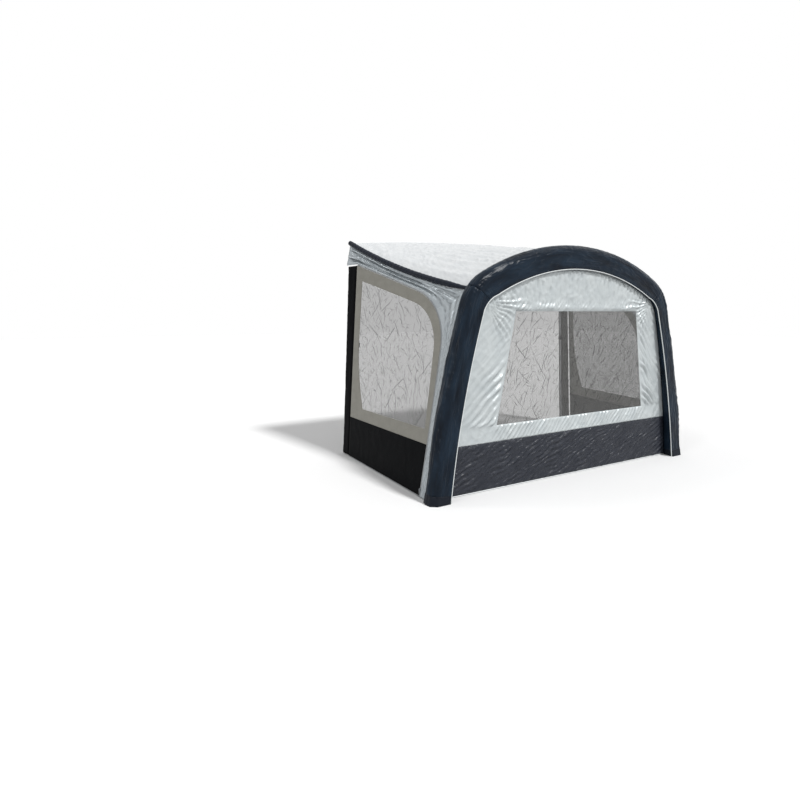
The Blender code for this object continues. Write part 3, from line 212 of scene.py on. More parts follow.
def onBeam(side, s, out, front):
    # the sections turn level towards the foot, so that the boot stands flat
    point, normal, turn = beamAt(s)
    height = point.y + normal.y * out * min(s / bootAt, 1)
    return Vector((side * (point.x + normal.x * out), beamY - front, height))


def panelY(height):
    recess = mix(beam["returnAtFoot"], beam["returnAtCrown"], height / awning["archHeight"])
    return beamY - beam["legRadius"] + recess


def seamPoint(side, s, standoff=awning["seamStandoff"]):
    radius = tubeRadius(s) + standoff + beam["bootFlare"] * max(1 - s / bootAt, 0)
    return onBeam(side, s, radius * cos(seamAngle), radius * sin(seamAngle))


footSeam, cornerSeam = seamPoint(1, 0), seamPoint(1, cornerAt)


def wallX(y, height):
    rear = awning["railHalf"] + awning["rearSplay"] * (1 - height / awning["railHeight"])
    leg = mix(footSeam.x, cornerSeam.x, height / cornerSeam.z)
    return mix(rear, leg, (rearY - y) / (rearY - cornerSeam.y))


def onWall(side, y, z, proud=0):
    return Vector((side * (wallX(y, z) + proud), y, z))


# meshes

cut = {"emptyShare": 0.3, "strip": 0.22}
inside = {"middle": Vector((0, 0.3, 0.9)), "flatness": 0.8}
clothNodes = set()


def newObject(name, data):
    thing = bpy.data.objects.new(name, data)
    bpy.context.scene.collection.objects.link(thing)
    return thing


def meshObject(name, bm):
    mesh = bpy.data.meshes.new(name)
    bm.to_mesh(mesh)
    bm.free()
    return newObject(name, mesh)


def smooth(thing):
    for face in thing.data.polygons:
        face.use_smooth = True


def faceOutwards(thing):
    bm = bmesh.new()
    bm.from_mesh(thing.data)
    bmesh.ops.recalc_face_normals(bm, faces=bm.faces)
    bm.to_mesh(thing.data)
    bm.free()


def clothGrid(name, rows, closed=False, capped=False):
    # a sheet or tube through rows of points, with a UV map laid out in metres
    bm = bmesh.new()
    uv = bm.loops.layers.uv.new("cut")
    grid = [[bm.verts.new(p) for p in row] for row in rows]
    middle, count = rows[len(rows) // 2], len(rows[0])
    across = runLengths(middle + middle[:1])
    along = runLengths([row[count // 2] for row in rows])
    for i in range(len(rows) - 1):
        for j in range(count if closed else count - 1):
            k = (j + 1) % count
            face = bm.faces.new((grid[i][j], grid[i][k], grid[i + 1][k], grid[i + 1][j]))
            for loop, (u, v) in zip(face.loops, ((j, i), (j + 1, i), (j + 1, i + 1), (j, i + 1))):
                loop[uv].uv = (across[u], along[v])
    if capped:
        bm.faces.new(grid[0])
        bm.faces.new(reversed(grid[-1]))
    thing = meshObject(name, bm)
    smooth(thing)
    if capped:
        faceOutwards(thing)
    return thing


def tubeAlong(name, points, radius, around=10):
    # closed round piping along a row of points
    rows = []
    side = Vector((0, 1, 0))
    turns = [2 * pi * j / around for j in range(around)]
    for k, point in enumerate(points):
        ahead = (points[min(k + 1, len(points) - 1)] - points[max(k - 1, 0)]).normalized()
        side = (side - ahead * side.dot(ahead)).normalized()
        up = ahead.cross(side)
        rows.append([point + side * (radius * cos(a)) + up * (radius * sin(a)) for a in turns])
    return clothGrid(name, rows, closed=True, capped=True)


def markShadedHollows(thing, rows, reach, depth, closed):
    # how far each point lies below its neighbours, from 0 to 1, where the cloth's colour gets
    # painted shade in its fold valleys
    count, values = len(rows[0]), []
    for i, row in enumerate(rows):
        low, high = rows[max(i - reach, 0)], rows[min(i + reach, len(rows) - 1)]
        for j, point in enumerate(row):
            if closed:
                before, after = row[(j - reach) % count], row[(j + reach) % count]
            else:
                before, after = row[max(j - reach, 0)], row[min(j + reach, count - 1)]
            across = (after - before).cross(high[j] - low[j]).normalized()
            outwards = point - inside["middle"]
            outwards.z *= inside["flatness"]
            if across.dot(outwards) < 0:
                across.negate()
            middle = (before + after + low[j] + high[j]) / 4
            values.append(min(max((middle - point).dot(across) / depth, 0), 1))
    layer = thing.data.attributes.new("hollowShade", "FLOAT", "POINT")
    layer.data.foreach_set("value", values)


def thicken(thing, thickness):
    wall = thing.modifiers.new("thickness", "SOLIDIFY")
    wall.thickness = thickness
    wall.offset = 0


def declareSheet(thing, thickness):
    # the cut's size and area come from its layout before it gets its thickness
    layout = [loop.uv for loop in thing.data.uv_layers["cut"].data]
    width, length = (max(uv[k] for uv in layout) - min(uv[k] for uv in layout) for k in (0, 1))
    area = sum(face.area for face in thing.data.polygons)
    if area < cut["emptyShare"] * width * length:
        width = cut["strip"]  # a frame is sewn from strips
    length = max(length, area / width)
    thicken(thing, thickness)
    print("sheet %s %.2f x %.2f m, %.2f m2" % (thing.name, width, length, area))


def dress(thing, body, slotName, material, *nodes):
    clothNodes.update(nodes)
    thing.data.materials.clear()
    thing.data.materials.append(material)
    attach(thing, body)
    if nodes:
        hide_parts(*nodes)


def makeSheet(name, rows, body, slotName, material, node, thickness, held, *restsOn,
              closed=False, flatAxis=None, hollows=None):
    thing = clothGrid(name, rows, closed=closed)
    if flatAxis is not None:
        # the cut straight from the upright plane, in metres
        layer = thing.data.uv_layers["cut"].data
        for loop in thing.data.loops:
            co = thing.data.vertices[loop.vertex_index].co
            layer[loop.index].uv = (co[flatAxis], co.z)
    # the fold valleys are marked for painted shade in the cloth's colour
    if hollows:
        markShadedHollows(thing, rows, *hollows, closed)
    declareSheet(thing, thickness)
    dress(thing, body, slotName, material, node)


# rows of stitches laid on the sheets, each a block with a narrower top

stitch = {
    "length": 0.0054, "pitch": 0.0080, "width": 0.0013, "height": 0.0009,
    "bottom": (-0.3, 1.0), "top": (0.7, 0.55),
}
sewing = {}


def sew(thread, body, line, beside, outwards):
    # stitches along a line on the cloth; beside holds the line next to it, for the cloth's tilt
    bm = sewing.setdefault((thread, body), bmesh.new())
    carry = stitch["pitch"] / 2
    for k, (a, b) in enumerate(zip(line, line[1:])):
        run = (b - a).length
        while carry < run:
            along = (b - a) / run
            up = along.cross(beside[k] - a).normalized()
            if up.dot(outwards) < 0:
                up.negate()
            across = up.cross(along)
            corners = []
            for lift, narrow in (stitch["bottom"], stitch["top"]):
                for u, w in ((-1, -1), (1, -1), (1, 1), (-1, 1)):
                    corner = a + along * carry + along * (u * stitch["length"] * narrow / 2)
                    corner += across * (w * stitch["width"] * narrow / 2)
                    corners.append(bm.verts.new(corner + up * (lift * stitch["height"])))
            low, high = corners[:4], corners[4:]
            bm.faces.new(reversed(low))
            bm.faces.new(high)
            for j in range(4):
                bm.faces.new((low[j], low[(j + 1) % 4], high[(j + 1) % 4], high[j]))
            carry += stitch["pitch"]
        carry -= run


def sewRow(thread, body, rows, place, outwards, closed=False):
    k = min(int(place), len(rows) - 2)
    line = [mix(a, b, place - k) for a, b in zip(rows[k], rows[k + 1])]
    beside = rows[k + 1] if place - k < 0.5 else rows[k]
    if closed:
        line, beside = line + line[:1], beside + beside[:1]
    sew(thread, body, line, beside, outwards)


# shader nodes

class Signal:
    # an output of a shader node; arithmetic on it adds math nodes, an index picks another output
    def __init__(self, tree, node, output=0):
        self.tree, self.node, self.socket = tree, node, node.outputs[output]

    def __getitem__(self, output):
        return Signal(self.tree, self.node, output)

    def __add__(self, other):
        return addMath("ADD", self, other)

    def __sub__(self, other):
        return addMath("SUBTRACT", self, other)

    def __rsub__(self, other):
        return addMath("SUBTRACT", other, self)

    def __mul__(self, other):
        return addMath("MULTIPLY", self, other)

    def __truediv__(self, other):
        return addMath("DIVIDE", self, other)

    def __pow__(self, other):
        return addMath("POWER", self, other)

    def __abs__(self):
        return addMath("ABSOLUTE", self)


def fill(tree, node, sockets):
    for label, value in sockets.items():
        if isinstance(value, Signal):
            tree.links.new(value.socket, node.inputs[label])
        else:
            node.inputs[label].default_value = value


def addNode(tree, kind, sockets, **settings):
    node = tree.nodes.new("ShaderNode" + kind)
    for label, value in settings.items():
        setattr(node, label, value)
    fill(tree, node, sockets)
    return Signal(tree, node)


def addMath(operation, *values):
    tree = next(value.tree for value in values if isinstance(value, Signal))
    return addNode(tree, "Math", dict(enumerate(values)), operation=operation)


def clamped(signal):
    signal.node.use_clamp = True
    return signal


def mapped(value, low=0.0, high=1.0, start=0.0, end=1.0):
    sockets = {"Value": value, "From Min": start, "From Max": end, "To Min": low, "To Max": high}
    return addNode(value.tree, "MapRange", sockets)


def blended(share, first, second):
    return addNode(share.tree, "Mix", {0: share, 6: first, 7: second}, data_type="RGBA")[2]


def relief(height, strength, depth, **normal):
    sockets = {"Height": height, "Strength": strength, "Distance": depth, **normal}
    return addNode(height.tree, "Bump", sockets)


def newGroup(name, inputs):
    # inputs holds each socket's usual value, and None for a vector
    group = bpy.data.node_groups.new(name, "ShaderNodeTree")
    for label, value in inputs.items():
        kind = "NodeSocketVector" if value is None else "NodeSocketFloat"
        socket = group.interface.new_socket(label, in_out="INPUT", socket_type=kind)
        if value is not None:
            socket.default_value = value
    return group, Signal(group, group.nodes.new("NodeGroupInput"))


def closeGroup(group, **results):
    for label in results:
        group.interface.new_socket(label, in_out="OUTPUT", socket_type="NodeSocketFloat")
    fill(group, group.nodes.new("NodeGroupOutput"), results)
    return group


cloth = {
    "grain": 0.004, "grainScale": 900, "threads": 1400.0, "softBend": 0.25, "foldBend": 0.1,
    "foldScale": 1.9, "foldContrast": 7, "foldPower": 1.6, "shadeFrom": 0.30, "shadeTo": 0.70,
    "smoother": 0.07, "rougher": 0.09, "foldStrength": 0.9, "weaveStrength": 0.12,
    "weaveDepth": 0.0004,
}


def makeCrinkle():
    # crumpled cloth: broad soft dents and ridged creases drawn out along one heading, fine grain;
    # the Shade output is the soft dents alone, for painted shade in the cloth's colour
    group, given = newGroup("crinkledCloth", {
        "Vector": None, "Size": 8.0, "Sharpness": 0.6, "Grain": 0.15, "Turn": 0.0, "Stretch": 1.0})
    turned = addNode(group, "VectorRotate", {"Vector": given["Vector"], "Angle": given["Turn"]},
                     rotation_type="Z_AXIS")
    factors = addNode(group, "CombineXYZ", {0: 1, 1: given["Stretch"], 2: 1})
    drawn = addNode(group, "VectorMath", {0: turned, 1: factors}, operation="MULTIPLY")
    soft = addNode(group, "TexNoise", {
        "Vector": drawn, "Scale": given["Size"], "Detail": 2, "Distortion": cloth["softBend"]})
    folds = addNode(group, "TexNoise", {
        "Vector": drawn, "Scale": given["Size"] * cloth["foldScale"], "Detail": 1,
        "Distortion": cloth["foldBend"]})
    grain = addNode(group, "TexNoise", {
        "Vector": given["Vector"], "Scale": cloth["grainScale"], "Detail": 1})
    crest = clamped(1 - abs(folds - 0.5) * cloth["foldContrast"]) ** cloth["foldPower"]
    ridges = crest * given["Sharpness"] * soft
    return closeGroup(group, Height=soft + ridges + grain * given["Grain"], Shade=soft)


def makeWeave():
    # plain weave of coated polyester, threads along both ways of the cut
    group, given = newGroup("plainWeave", {"Vector": None, "Threads": 900.0})
    scaled = addNode(group, "VectorMath", {0: given["Vector"], "Scale": given["Threads"]},
                     operation="SCALE")
    parts = addNode(group, "SeparateXYZ", {0: scaled})
    return closeGroup(group, Height=addMath("SINE", parts[0]) * addMath("SINE", parts[1]))


# creases in the film, in layers: cells per unit of Cells, half length, place, lowest angle and
# spread of the angles; the web is of fainter and longer folds that join at their ends
film = {
    "layers": (
        (0.8, 0.066, 0.0, 0.5, 1.0), (1.1, 0.046, 3.7, 0.2, 2.2), (1.5, 0.032, 9.1, 0.0, 3.1),
        (0.5, 0.115, 5.3, 0.7, 0.8), (0.35, 0.150, 7.7, 1.9, 0.7), (0.42, 0.130, 2.9, 0.6, 0.9),
    ),
    "bend": (0.026, 0.026, 0), "bow": 0.7, "taper": 1.5, "leastWidth": 0.35, "leastWeight": 0.45,
    "webScale": 0.6, "webWidth": 0.035, "webWeight": 0.35, "webFrom": 0.42, "webContrast": 3.2,
    "bendScale": 11, "cloudScale": 5, "waveScale": 7, "creaseColor": (46, 46, 45),
    "creaseAlpha": 0.34, "roughness": 0.10, "waveStrength": 0.8, "waveDepth": 0.006,
}


def makeCreasedFilm():
    # dark creases left in clear film by packing it away, each at its own angle in a cell
    group, given = newGroup("creasedFilm", {
        "Vector": None, "Cells": 10.0, "Width": 0.0040, "Amount": 0.78})
    vector = given["Vector"]
    bends = addNode(group, "TexNoise", {"Vector": vector, "Scale": film["bendScale"], "Detail": 2})
    bent = addNode(group, "VectorMath", {0: bends["Color"], 1: film["bend"], 2: vector},
                   operation="MULTIPLY_ADD")
    net = addNode(group, "TexVoronoi", {
        "Vector": vector, "Scale": given["Cells"] * film["webScale"]},
        feature="DISTANCE_TO_EDGE", voronoi_dimensions="2D")
    web = clamped(1 - net["Distance"] / film["webWidth"])
    clouds = addNode(group, "TexNoise", {
        "Vector": vector, "Scale": film["cloudScale"], "Detail": 2})
    total = web * clamped((clouds - film["webFrom"]) * film["webContrast"]) * film["webWeight"]
    for scale, length, seed, lowest, spread in film["layers"]:
        moved = addNode(group, "VectorMath", {0: bent, 1: (seed, seed * 0.7, 0)}, operation="ADD")
        cells = addNode(group, "TexVoronoi", {"Vector": moved, "Scale": given["Cells"] * scale},
                        voronoi_dimensions="2D")
        local = addNode(group, "VectorMath", {0: moved, 1: cells["Position"]}, operation="SUBTRACT")
        lots = addNode(group, "SeparateColor", {0: cells["Color"]})
        heading = lots[0] * -spread - lowest
        turned = addNode(group, "VectorRotate", {"Vector": local, "Angle": heading},
                         rotation_type="Z_AXIS")
        parts = addNode(group, "SeparateXYZ", {0: turned})
        along, across = parts[0], parts[1]
        ends = clamped((1 - abs(along) / length) * film["taper"])
        wide = (ends + film["leastWidth"]) * given["Width"] * (0.5 + 4 * length)
        line = clamped(1 - abs(across + along * along * film["bow"]) / wide)
        shown = addMath("LESS_THAN", lots[1], given["Amount"])
        weight = clamped(lots[2] + film["leastWeight"])
        total = addMath("MAXIMUM", total, line * ends * (shown * weight))
    soft = addNode(group, "TexNoise", {"Vector": vector, "Scale": film["waveScale"], "Detail": 3})
    return closeGroup(group, Creases=total, Height=total * 0.5 + soft)


worn = {
    "smudgeScale": 22, "from": 0.35, "to": 0.70, "smoother": 0.06, "rougher": 0.10,
    "strength": 0.5,
}


def makeWorn():
    # handled surface: broad smudges, fine grain and scratches drawn out along the object's height
    group, given = newGroup("wornSurface", {"Vector": None, "Grain": 400.0, "Streak": 1.0})
    factors = addNode(group, "CombineXYZ", {0: 1, 1: 1, 2: given["Streak"]})
    drawn = addNode(group, "VectorMath", {0: given["Vector"], 1: factors}, operation="MULTIPLY")
    fine = addNode(group, "TexNoise", {"Vector": drawn, "Scale": given["Grain"], "Detail": 2})
    smudge = addNode(group, "TexNoise", {
        "Vector": given["Vector"], "Scale": worn["smudgeScale"], "Detail": 4})
    return closeGroup(group, Height=fine, Smudge=smudge)


crinkleGroup, weaveGroup = makeCrinkle(), makeWeave()
filmGroup, wornGroup = makeCreasedFilm(), makeWorn()


# materials, their colours in sRGB

def srgb(color):
    shares = [c / 255 for c in color]
    return [c / 12.92 if c <= 0.04045 else ((c + 0.055) / 1.055) ** 2.4 for c in shares] + [1]


def newMaterial(name, color, roughness, metallic=0.0, gloss=0.5):
    material = bpy.data.materials.new(name)
    material.use_nodes = True
    tree = material.node_tree
    shader = tree.nodes["Principled BSDF"]
    fill(tree, shader, {"Base Color": color, "Roughness": roughness, "Metallic": metallic,
                        "Specular IOR Level": gloss})
    return material, tree, shader


def cutMap(tree):
    return addNode(tree, "UVMap", {}, uv_map="cut")


def clothMaterial(name, light, dark, roughness, size, depth, sharpness=0.6,
                  gloss=0.5, metallic=0.0, turn=0.0, stretch=1.0, hollowShade=0.0):
    # colour that drifts with the crumple, partly random tone and partly painted shade, darker in
    # its dents; satin roughness, crumple and weave in the normal
    light, dark = srgb(light), srgb(dark)
    material, tree, shader = newMaterial(name, light, roughness, metallic, gloss)
    spot = cutMap(tree)
    crumple = addNode(tree, "Group", {
        "Vector": spot, "Size": size, "Sharpness": sharpness, "Grain": cloth["grain"],
        "Turn": radians(turn), "Stretch": stretch}, node_tree=crinkleGroup)
    shade = crumple["Shade"]
    # dark colour where the crumple dips: painted shade in part, random tone in part
    color = blended(mapped(shade, start=cloth["shadeFrom"], end=cloth["shadeTo"]), dark, light)
    # painted shade: darker colour in the fold valleys marked on the mesh
    if hollowShade:
        lies = addNode(tree, "Attribute", {}, attribute_name="hollowShade")
        color = blended(lies["Fac"], color, [c * (1 - hollowShade) for c in dark[:3]] + [1])
    weave = addNode(tree, "Group", {"Vector": spot, "Threads": cloth["threads"]},
                    node_tree=weaveGroup)
    folds = relief(crumple["Height"], cloth["foldStrength"], depth)
    fill(tree, shader, {
        "Base Color": color,
        "Roughness": mapped(shade, roughness - cloth["smoother"], roughness + cloth["rougher"]),
        "Normal": relief(weave, cloth["weaveStrength"], cloth["weaveDepth"], Normal=folds),
    })
    return material


def filmMaterial(name, tint, alpha):
    material, tree, shader = newMaterial(name, srgb(tint), film["roughness"])
    creased = addNode(tree, "Group", {"Vector": cutMap(tree)}, node_tree=filmGroup)
    creases = creased["Creases"]
    fill(tree, shader, {
        "Base Color": blended(creases, srgb(tint), srgb(film["creaseColor"])),
        "Alpha": mapped(creases, alpha, min(alpha + film["creaseAlpha"], 1)),
        "Normal": relief(creased["Height"], film["waveStrength"], film["waveDepth"]),
    })
    return material


def hardMaterial(name, clean, handled, roughness, metallic, grain, streak, depth, gloss=0.5):
    clean, handled = srgb(clean), srgb(handled)
    material, tree, shader = newMaterial(name, clean, roughness, metallic, gloss)
    place = addNode(tree, "TexCoord", {})["Object"]
    surface = addNode(tree, "Group", {"Vector": place, "Grain": grain, "Streak": streak},
                      node_tree=wornGroup)
    smudge = surface["Smudge"]
    share = mapped(smudge, start=worn["from"], end=worn["to"])
    fill(tree, shader, {
        "Base Color": blended(share, clean, handled),
        "Roughness": mapped(smudge, roughness - worn["smoother"], roughness + worn["rougher"]),
        "Normal": relief(surface["Height"], worn["strength"], depth),
    })
    return material


# light colour, and dark colour for where the crumple dips (painted shade in part), roughness, size
# of the crumples and their depth
navyCloth = clothMaterial("navyCloth", (29, 43, 57), (10, 18, 28), 0.30, 12, 0.008,
                          gloss=0.12, stretch=0.25)
bootCloth = clothMaterial("bootCloth", (23, 28, 37), (18, 22, 30), 0.50, 30, 0.003, gloss=0.14)
edgeCloth = clothMaterial("edgeCloth", (26, 32, 44), (20, 25, 35), 0.45, 24, 0.004, gloss=0.14)
# the front silver's fold valleys get painted shade
silverCloth = clothMaterial("silverCloth", (203, 209, 210), (193, 200, 202), 0.35, 6, 0.008, 0.25,
                            metallic=0.22, hollowShade=0.30)
# the side walls' silver is the front panel's fabric, coloured darker as painted shade, with
# stronger painted shade in its fold valleys
shadedWallCloth = clothMaterial("shadedWallCloth", (186, 193, 197), (168, 176, 181), 0.27, 7, 0.009, 0.3,
                          metallic=0.30, hollowShade=0.65)
roofCloth = clothMaterial("roofCloth", (209, 211, 212), (197, 200, 202), 0.42, 9, 0.010, 0.3)
taupeCloth = clothMaterial("taupeCloth", (156, 154, 146), (146, 144, 136), 0.58, 10, 0.006,
                           gloss=0.30)
skirtCloth = clothMaterial("skirtCloth", (51, 54, 62), (41, 44, 52), 0.32, 9, 0.009, 0.5,
                           gloss=0.24, turn=-28, stretch=2.4)
doorSkirtCloth = clothMaterial("doorSkirtCloth", (8, 9, 11), (5, 6, 8), 0.62, 10, 0.002, gloss=0.05)
padCloth = clothMaterial("padCloth", (8, 8, 10), (5, 5, 7), 0.66, 14, 0.002, gloss=0.05)
pipingCloth = clothMaterial("pipingCloth", (236, 240, 240), (226, 230, 230), 0.45, 40, 0.001)
greyPiping = clothMaterial("greyPiping", (160, 163, 165), (150, 153, 155), 0.5, 40, 0.001)
clearFilm = filmMaterial("clearFilm", (108, 108, 107), 0.385)

# clean and handled colour, roughness, metallic, grain, streak and depth
bladderFilm = hardMaterial("bladderFilm", (188, 192, 198), (172, 176, 183), 0.30, 0.0,
                           60, 1.0, 0.001)
threads = {
    "pale": ("PaleStitches", "silver_fabric", hardMaterial(
        "threadGrey", (178, 182, 184), (158, 162, 165), 0.60, 0.0, 2600, 1.0, 0.0002, 0.3)),
    "dark": ("DarkStitches", "navy_sleeve", hardMaterial(
        "threadDark", (24, 28, 36), (34, 39, 48), 0.60, 0.0, 2600, 1.0, 0.0002, 0.2)),
}
hardRows = {
    "pole_steel": ("poleSteel", (186, 189, 192), (160, 163, 167), 0.28, 1.0, 700, 0.04, 0.00025),
    "black_plastic": ("blackPlastic", (30, 30, 32), (40, 40, 43), 0.46, 0.0, 900, 1.0, 0.0003),
    "grey_rubber": ("greyRubber", (58, 58, 60), (74, 74, 76), 0.72, 0.0, 500, 1.0, 0.0004, 0.3),
    "zinc": ("castZinc", (150, 152, 155), (122, 124, 128), 0.34, 1.0, 1200, 1.0, 0.0002),
    "valve_plastic": ("valvePlastic", (70, 71, 74), (86, 87, 90), 0.42, 0.0, 900, 1.0, 0.0003),
    "pale_piping": ("plungerPlastic", (224, 227, 227), (206, 209, 209), 0.40, 0.0,
                    900, 1.0, 0.0002),
}
hardFinishes = {slotName: hardMaterial(*row) for slotName, row in hardRows.items()}
print("materials ready")


# air beam sleeve: round tube, fascia flange at its front and the return behind the flange

sleeve = {
    "tubePoints": 78, "flangePoints": 12, "returnPoints": 6, "innerPoints": 5,
    "ringSpacing": 0.0085, "bootSpacing": 0.006, "bootGap": 0.0003, "tubeTurn": 330,
    "lengthFold": 0.0046, "longCrease": 0.0042, "streak": 0.0055,
    "slantFold": 0.0040, "crossFold": 0.0020, "bendFold": 0.0080,
    "seamPinch": 0.0035, "cornerGather": 0.0040, "shoulderGather": 0.0040, "edgeRound": 0.004,
    "backGap": 0.0018, "flangeWave": 0.0020, "flangeBow": 0.0030, "flangeFan": 0.0045,
    "jointGap": 0.0002, "legSeed": 10, "bootSeed": 20, "archSeed": 30,
}


def sleeveFold(side, s, angle, seed):
    # how far the cover stands off its even shape; angle is 0 outside and half a turn inside
    turn = beamAt(s)[2]
    x = s + (7 if side > 0 else 0)
    around = angle * beam["legRadius"]
    fold = sleeve["lengthFold"] * wobble(x / 0.42, around / 0.034, seed) * (1.4 - turn)
    long = patches(x / 0.30, around / 0.06, seed + 21, 1.2)
    fold += sleeve["longCrease"] * crease(x / 0.55, around / 0.045, seed + 13) * long * (1.3 - turn)
    outer = bump((angle - 0.75) / 0.7) * (1 - turn)
    fold += sleeve["streak"] * crease(x / 0.40, around / 0.026, seed + 31) * outer * (0.3 + long)
    slant = waves(x / 0.11 + around / 0.05, 0.8, x / 0.1, around / 0.05, seed + 17)
    fold += sleeve["slantFold"] * slant * outer * bump((s - 0.55) / 0.25)
    fold += sleeve["crossFold"] * wobble(x / 0.035, around / 0.11 + x / 0.09, seed + 3)
    # gathers at the corner's bend, the seam in it and the right shoulder
    off = s - cornerAt
    squeezed = waves(s / 0.036, 0.5, s / 0.05, around / 0.05, seed + 5)
    fold -= sleeve["bendFold"] * bump(off / 0.13) * (0.5 - 0.5 * cos(angle)) * squeezed
    fold -= sleeve["seamPinch"] * bump(off / 0.007)
    pleats = waves(around / 0.024, 0.7, s / 0.06, around / 0.04, seed + 9)
    fold += sleeve["cornerGather"] * bump(off / 0.06) * (pleats - 0.4)
    if side > 0:
        shoulder = bump((s - crownAt + 0.55) / 0.16) * ease(1.2 - abs(angle - 0.6) / 1.2)
        slant = waves(s / 0.034 + around / 0.09, 0.5, s / 0.06, around / 0.05, seed + 7)
        fold += sleeve["shoulderGather"] * shoulder * (slant - 0.4)
    # flat along the seam with the side wall
    return fold * (1 - 0.85 * bump((angle - seamAngle) / 0.10) * (1 - turn))


def sleeveRing(side, s, flare, seed):
    radius = tubeRadius(s)
    tip = -flangeReach(s)
    root = tip + beam["flange"]
    back = beamY - panelY(onBeam(side, s, tip, 0).z) + sleeve["backGap"]
    under = radius - beam["flange"]
    ring = []
    for k in range(sleeve["tubePoints"] + 1):
        angle = radians(90 - sleeve["tubeTurn"] * k / sleeve["tubePoints"])
        proud = radius + flare + sleeveFold(side, s, angle, seed) * ease(k / 4)
        ring.append((proud * cos(angle), proud * sin(angle)))
    x = s * side
    last = Vector(ring[-1])

    def dent(out):
        # shared by both faces of the flange, none where it leaves the tube
        share = min(max(-out / -tip, 0), 1)
        wave = sleeve["flangeWave"] * wobble(x / 0.09, out / 0.08 + x / 0.12, seed + 11)
        wave += sleeve["flangeBow"] * wobble(x / 0.35, out / 0.05, seed + 15)
        fan = waves(s / 0.034, 0.6, x / 0.06, out / 0.06, seed + 2)
        wave -= sleeve["flangeFan"] * bump((s - cornerAt) / 0.11) * fan
        return wave * ease(share * 1.6) * ease((1 - share) * 5 + 0.15)

    inner, returns, lip = sleeve["innerPoints"], sleeve["returnPoints"], sleeve["edgeRound"]
    for k in range(1, inner + 1):
        spot = mix(last, Vector((root, under)), k / inner)
        ring.append((spot.x, spot.y + dent(spot.x) * (k / inner)))
    ring += [(root, mix(under, back, k / returns)) for k in range(1, returns + 1)]
    ring += [(tip, mix(back, radius - lip, k / (returns - 1))) for k in range(returns)]
    for a in (radians(30), radians(60)):
        ring.append((tip + lip - lip * cos(a), radius - lip + lip * sin(a)))
    for k in range(sleeve["flangePoints"]):
        out = mix(tip + lip, 0, k / sleeve["flangePoints"])
        ring.append((out, radius + flare + dent(out)))
    return [onBeam(side, s, out, front) for out, front in ring]


# the cover lies flat under the flange of the inflation valve, low inside the right leg

valve = {
    "spot": Vector((1.4293, -0.7837, 0.6252)), "axis": Vector((-0.696, 0.707, -0.124)),
    "seatRadius": 0.023, "seatEdge": 0.050, "seatDepth": 0.0006,
}


def valveSeat(point):
    off = point - valve["spot"]
    height = off.dot(valve["axis"])
    if abs(height) > valve["seatEdge"]:
        return point
    reach = (off - valve["axis"] * height).length
    flat = ease((valve["seatEdge"] - reach) / (valve["seatEdge"] - valve["seatRadius"]))
    return point - valve["axis"] * ((height + valve["seatDepth"]) * flat)


def sleevePiece(name, stations, flareAt, seed, material, node):
    rings = [[valveSeat(p) for p in sleeveRing(side, s, flareAt(s), seed)] for side, s in stations]
    firstFlange = sleeve["tubePoints"] + sleeve["innerPoints"] + 2 * sleeve["returnPoints"] + 3
    for place in (firstFlange + 1, firstFlange + 2):
        line, beside = [r[place] for r in rings], [r[place + 1] for r in rings]
        sew("dark", "awning", line, beside, frontwards)
    thing = clothGrid(name, rings, closed=True, capped=True)
    dress(thing, "awning", "navy_sleeve", material, node)


def acrossBeam(half):
    # stations over the whole beam from the left, from those of one half
    return [(-1, s) for s in half] + [(1, s) for s in reversed(half[:-1])]


gap, spacing = sleeve["jointGap"], sleeve["ringSpacing"]
for name, side in sides.items():
    run = steps(bootAt + sleeve["bootGap"], cornerAt - gap, spacing)
    stations = [(side, s) for s in run]
    sleevePiece(name + "LegSleeve", stations, lambda s: 0, sleeve["legSeed"] + side, navyCloth,
                name + "_leg_sleeve")
    stations = [(side, s) for s in steps(0, bootAt, sleeve["bootSpacing"])]
    sleevePiece(name + "Boot", stations, lambda s: beam["bootFlare"] * (1 - s / bootAt),
                sleeve["bootSeed"] + side, bootCloth, name + "_leg_boot")
sleevePiece("archSleeve", acrossBeam(steps(cornerAt + gap, crownAt, spacing)), lambda s: 0,
            sleeve["archSeed"], navyCloth, "arch_sleeve")

# inflated bladder inside the whole beam, from boot to boot, clear of every fold of the cover

bladder = {
    "clearance": 0.005, "around": 48, "spacing": 0.016, "foot": 0.014, "endRound": 0.05,
    "end": 0.04,
}


def bladderRing(side, s):
    seeds = (sleeve["legSeed"] + side, sleeve["bootSeed"] + side, sleeve["archSeed"])
    gone = 1 - min((s - bladder["foot"]) / bladder["endRound"], 1)
    ring = []
    for k in range(bladder["around"]):
        turn = 360 * k / bladder["around"]
        angle = radians(90 - turn)
        dip = min(0, *[sleeveFold(side, s, angle, seed) for seed in seeds])
        dip *= ease((360 - turn) / (360 - sleeve["tubeTurn"]))
        radius = (tubeRadius(s) - bladder["clearance"] + dip) * max(1 - gone ** 3, bladder["end"])
        ring.append(onBeam(side, s, radius * cos(angle), radius * sin(angle)))
    return ring


stations = acrossBeam(steps(bladder["foot"], crownAt, bladder["spacing"]))
airBladder = clothGrid("airBladder", [bladderRing(side, s) for side, s in stations],
                       closed=True, capped=True)
dress(airBladder, "awning", "bladder_film", bladderFilm, "air_bladder")

pipingLine = []
for side, run in ((-1, steps(0.003, crownAt, 0.012)), (1, steps(crownAt, 0.003, 0.012)[1:])):
    for s in run:
        out = -flangeReach(s) - beam["piping"] - 0.0003
        pipingLine.append(onBeam(side, s, out, tubeRadius(s) - beam["piping"]))
dress(tubeAlong("fasciaPiping", pipingLine, beam["piping"]), "awning", "pale_piping",
      pipingCloth, "fascia_piping")
print("air beam dressed")


# front wall: silver panel round the window, skirt and hem in one sloping plane

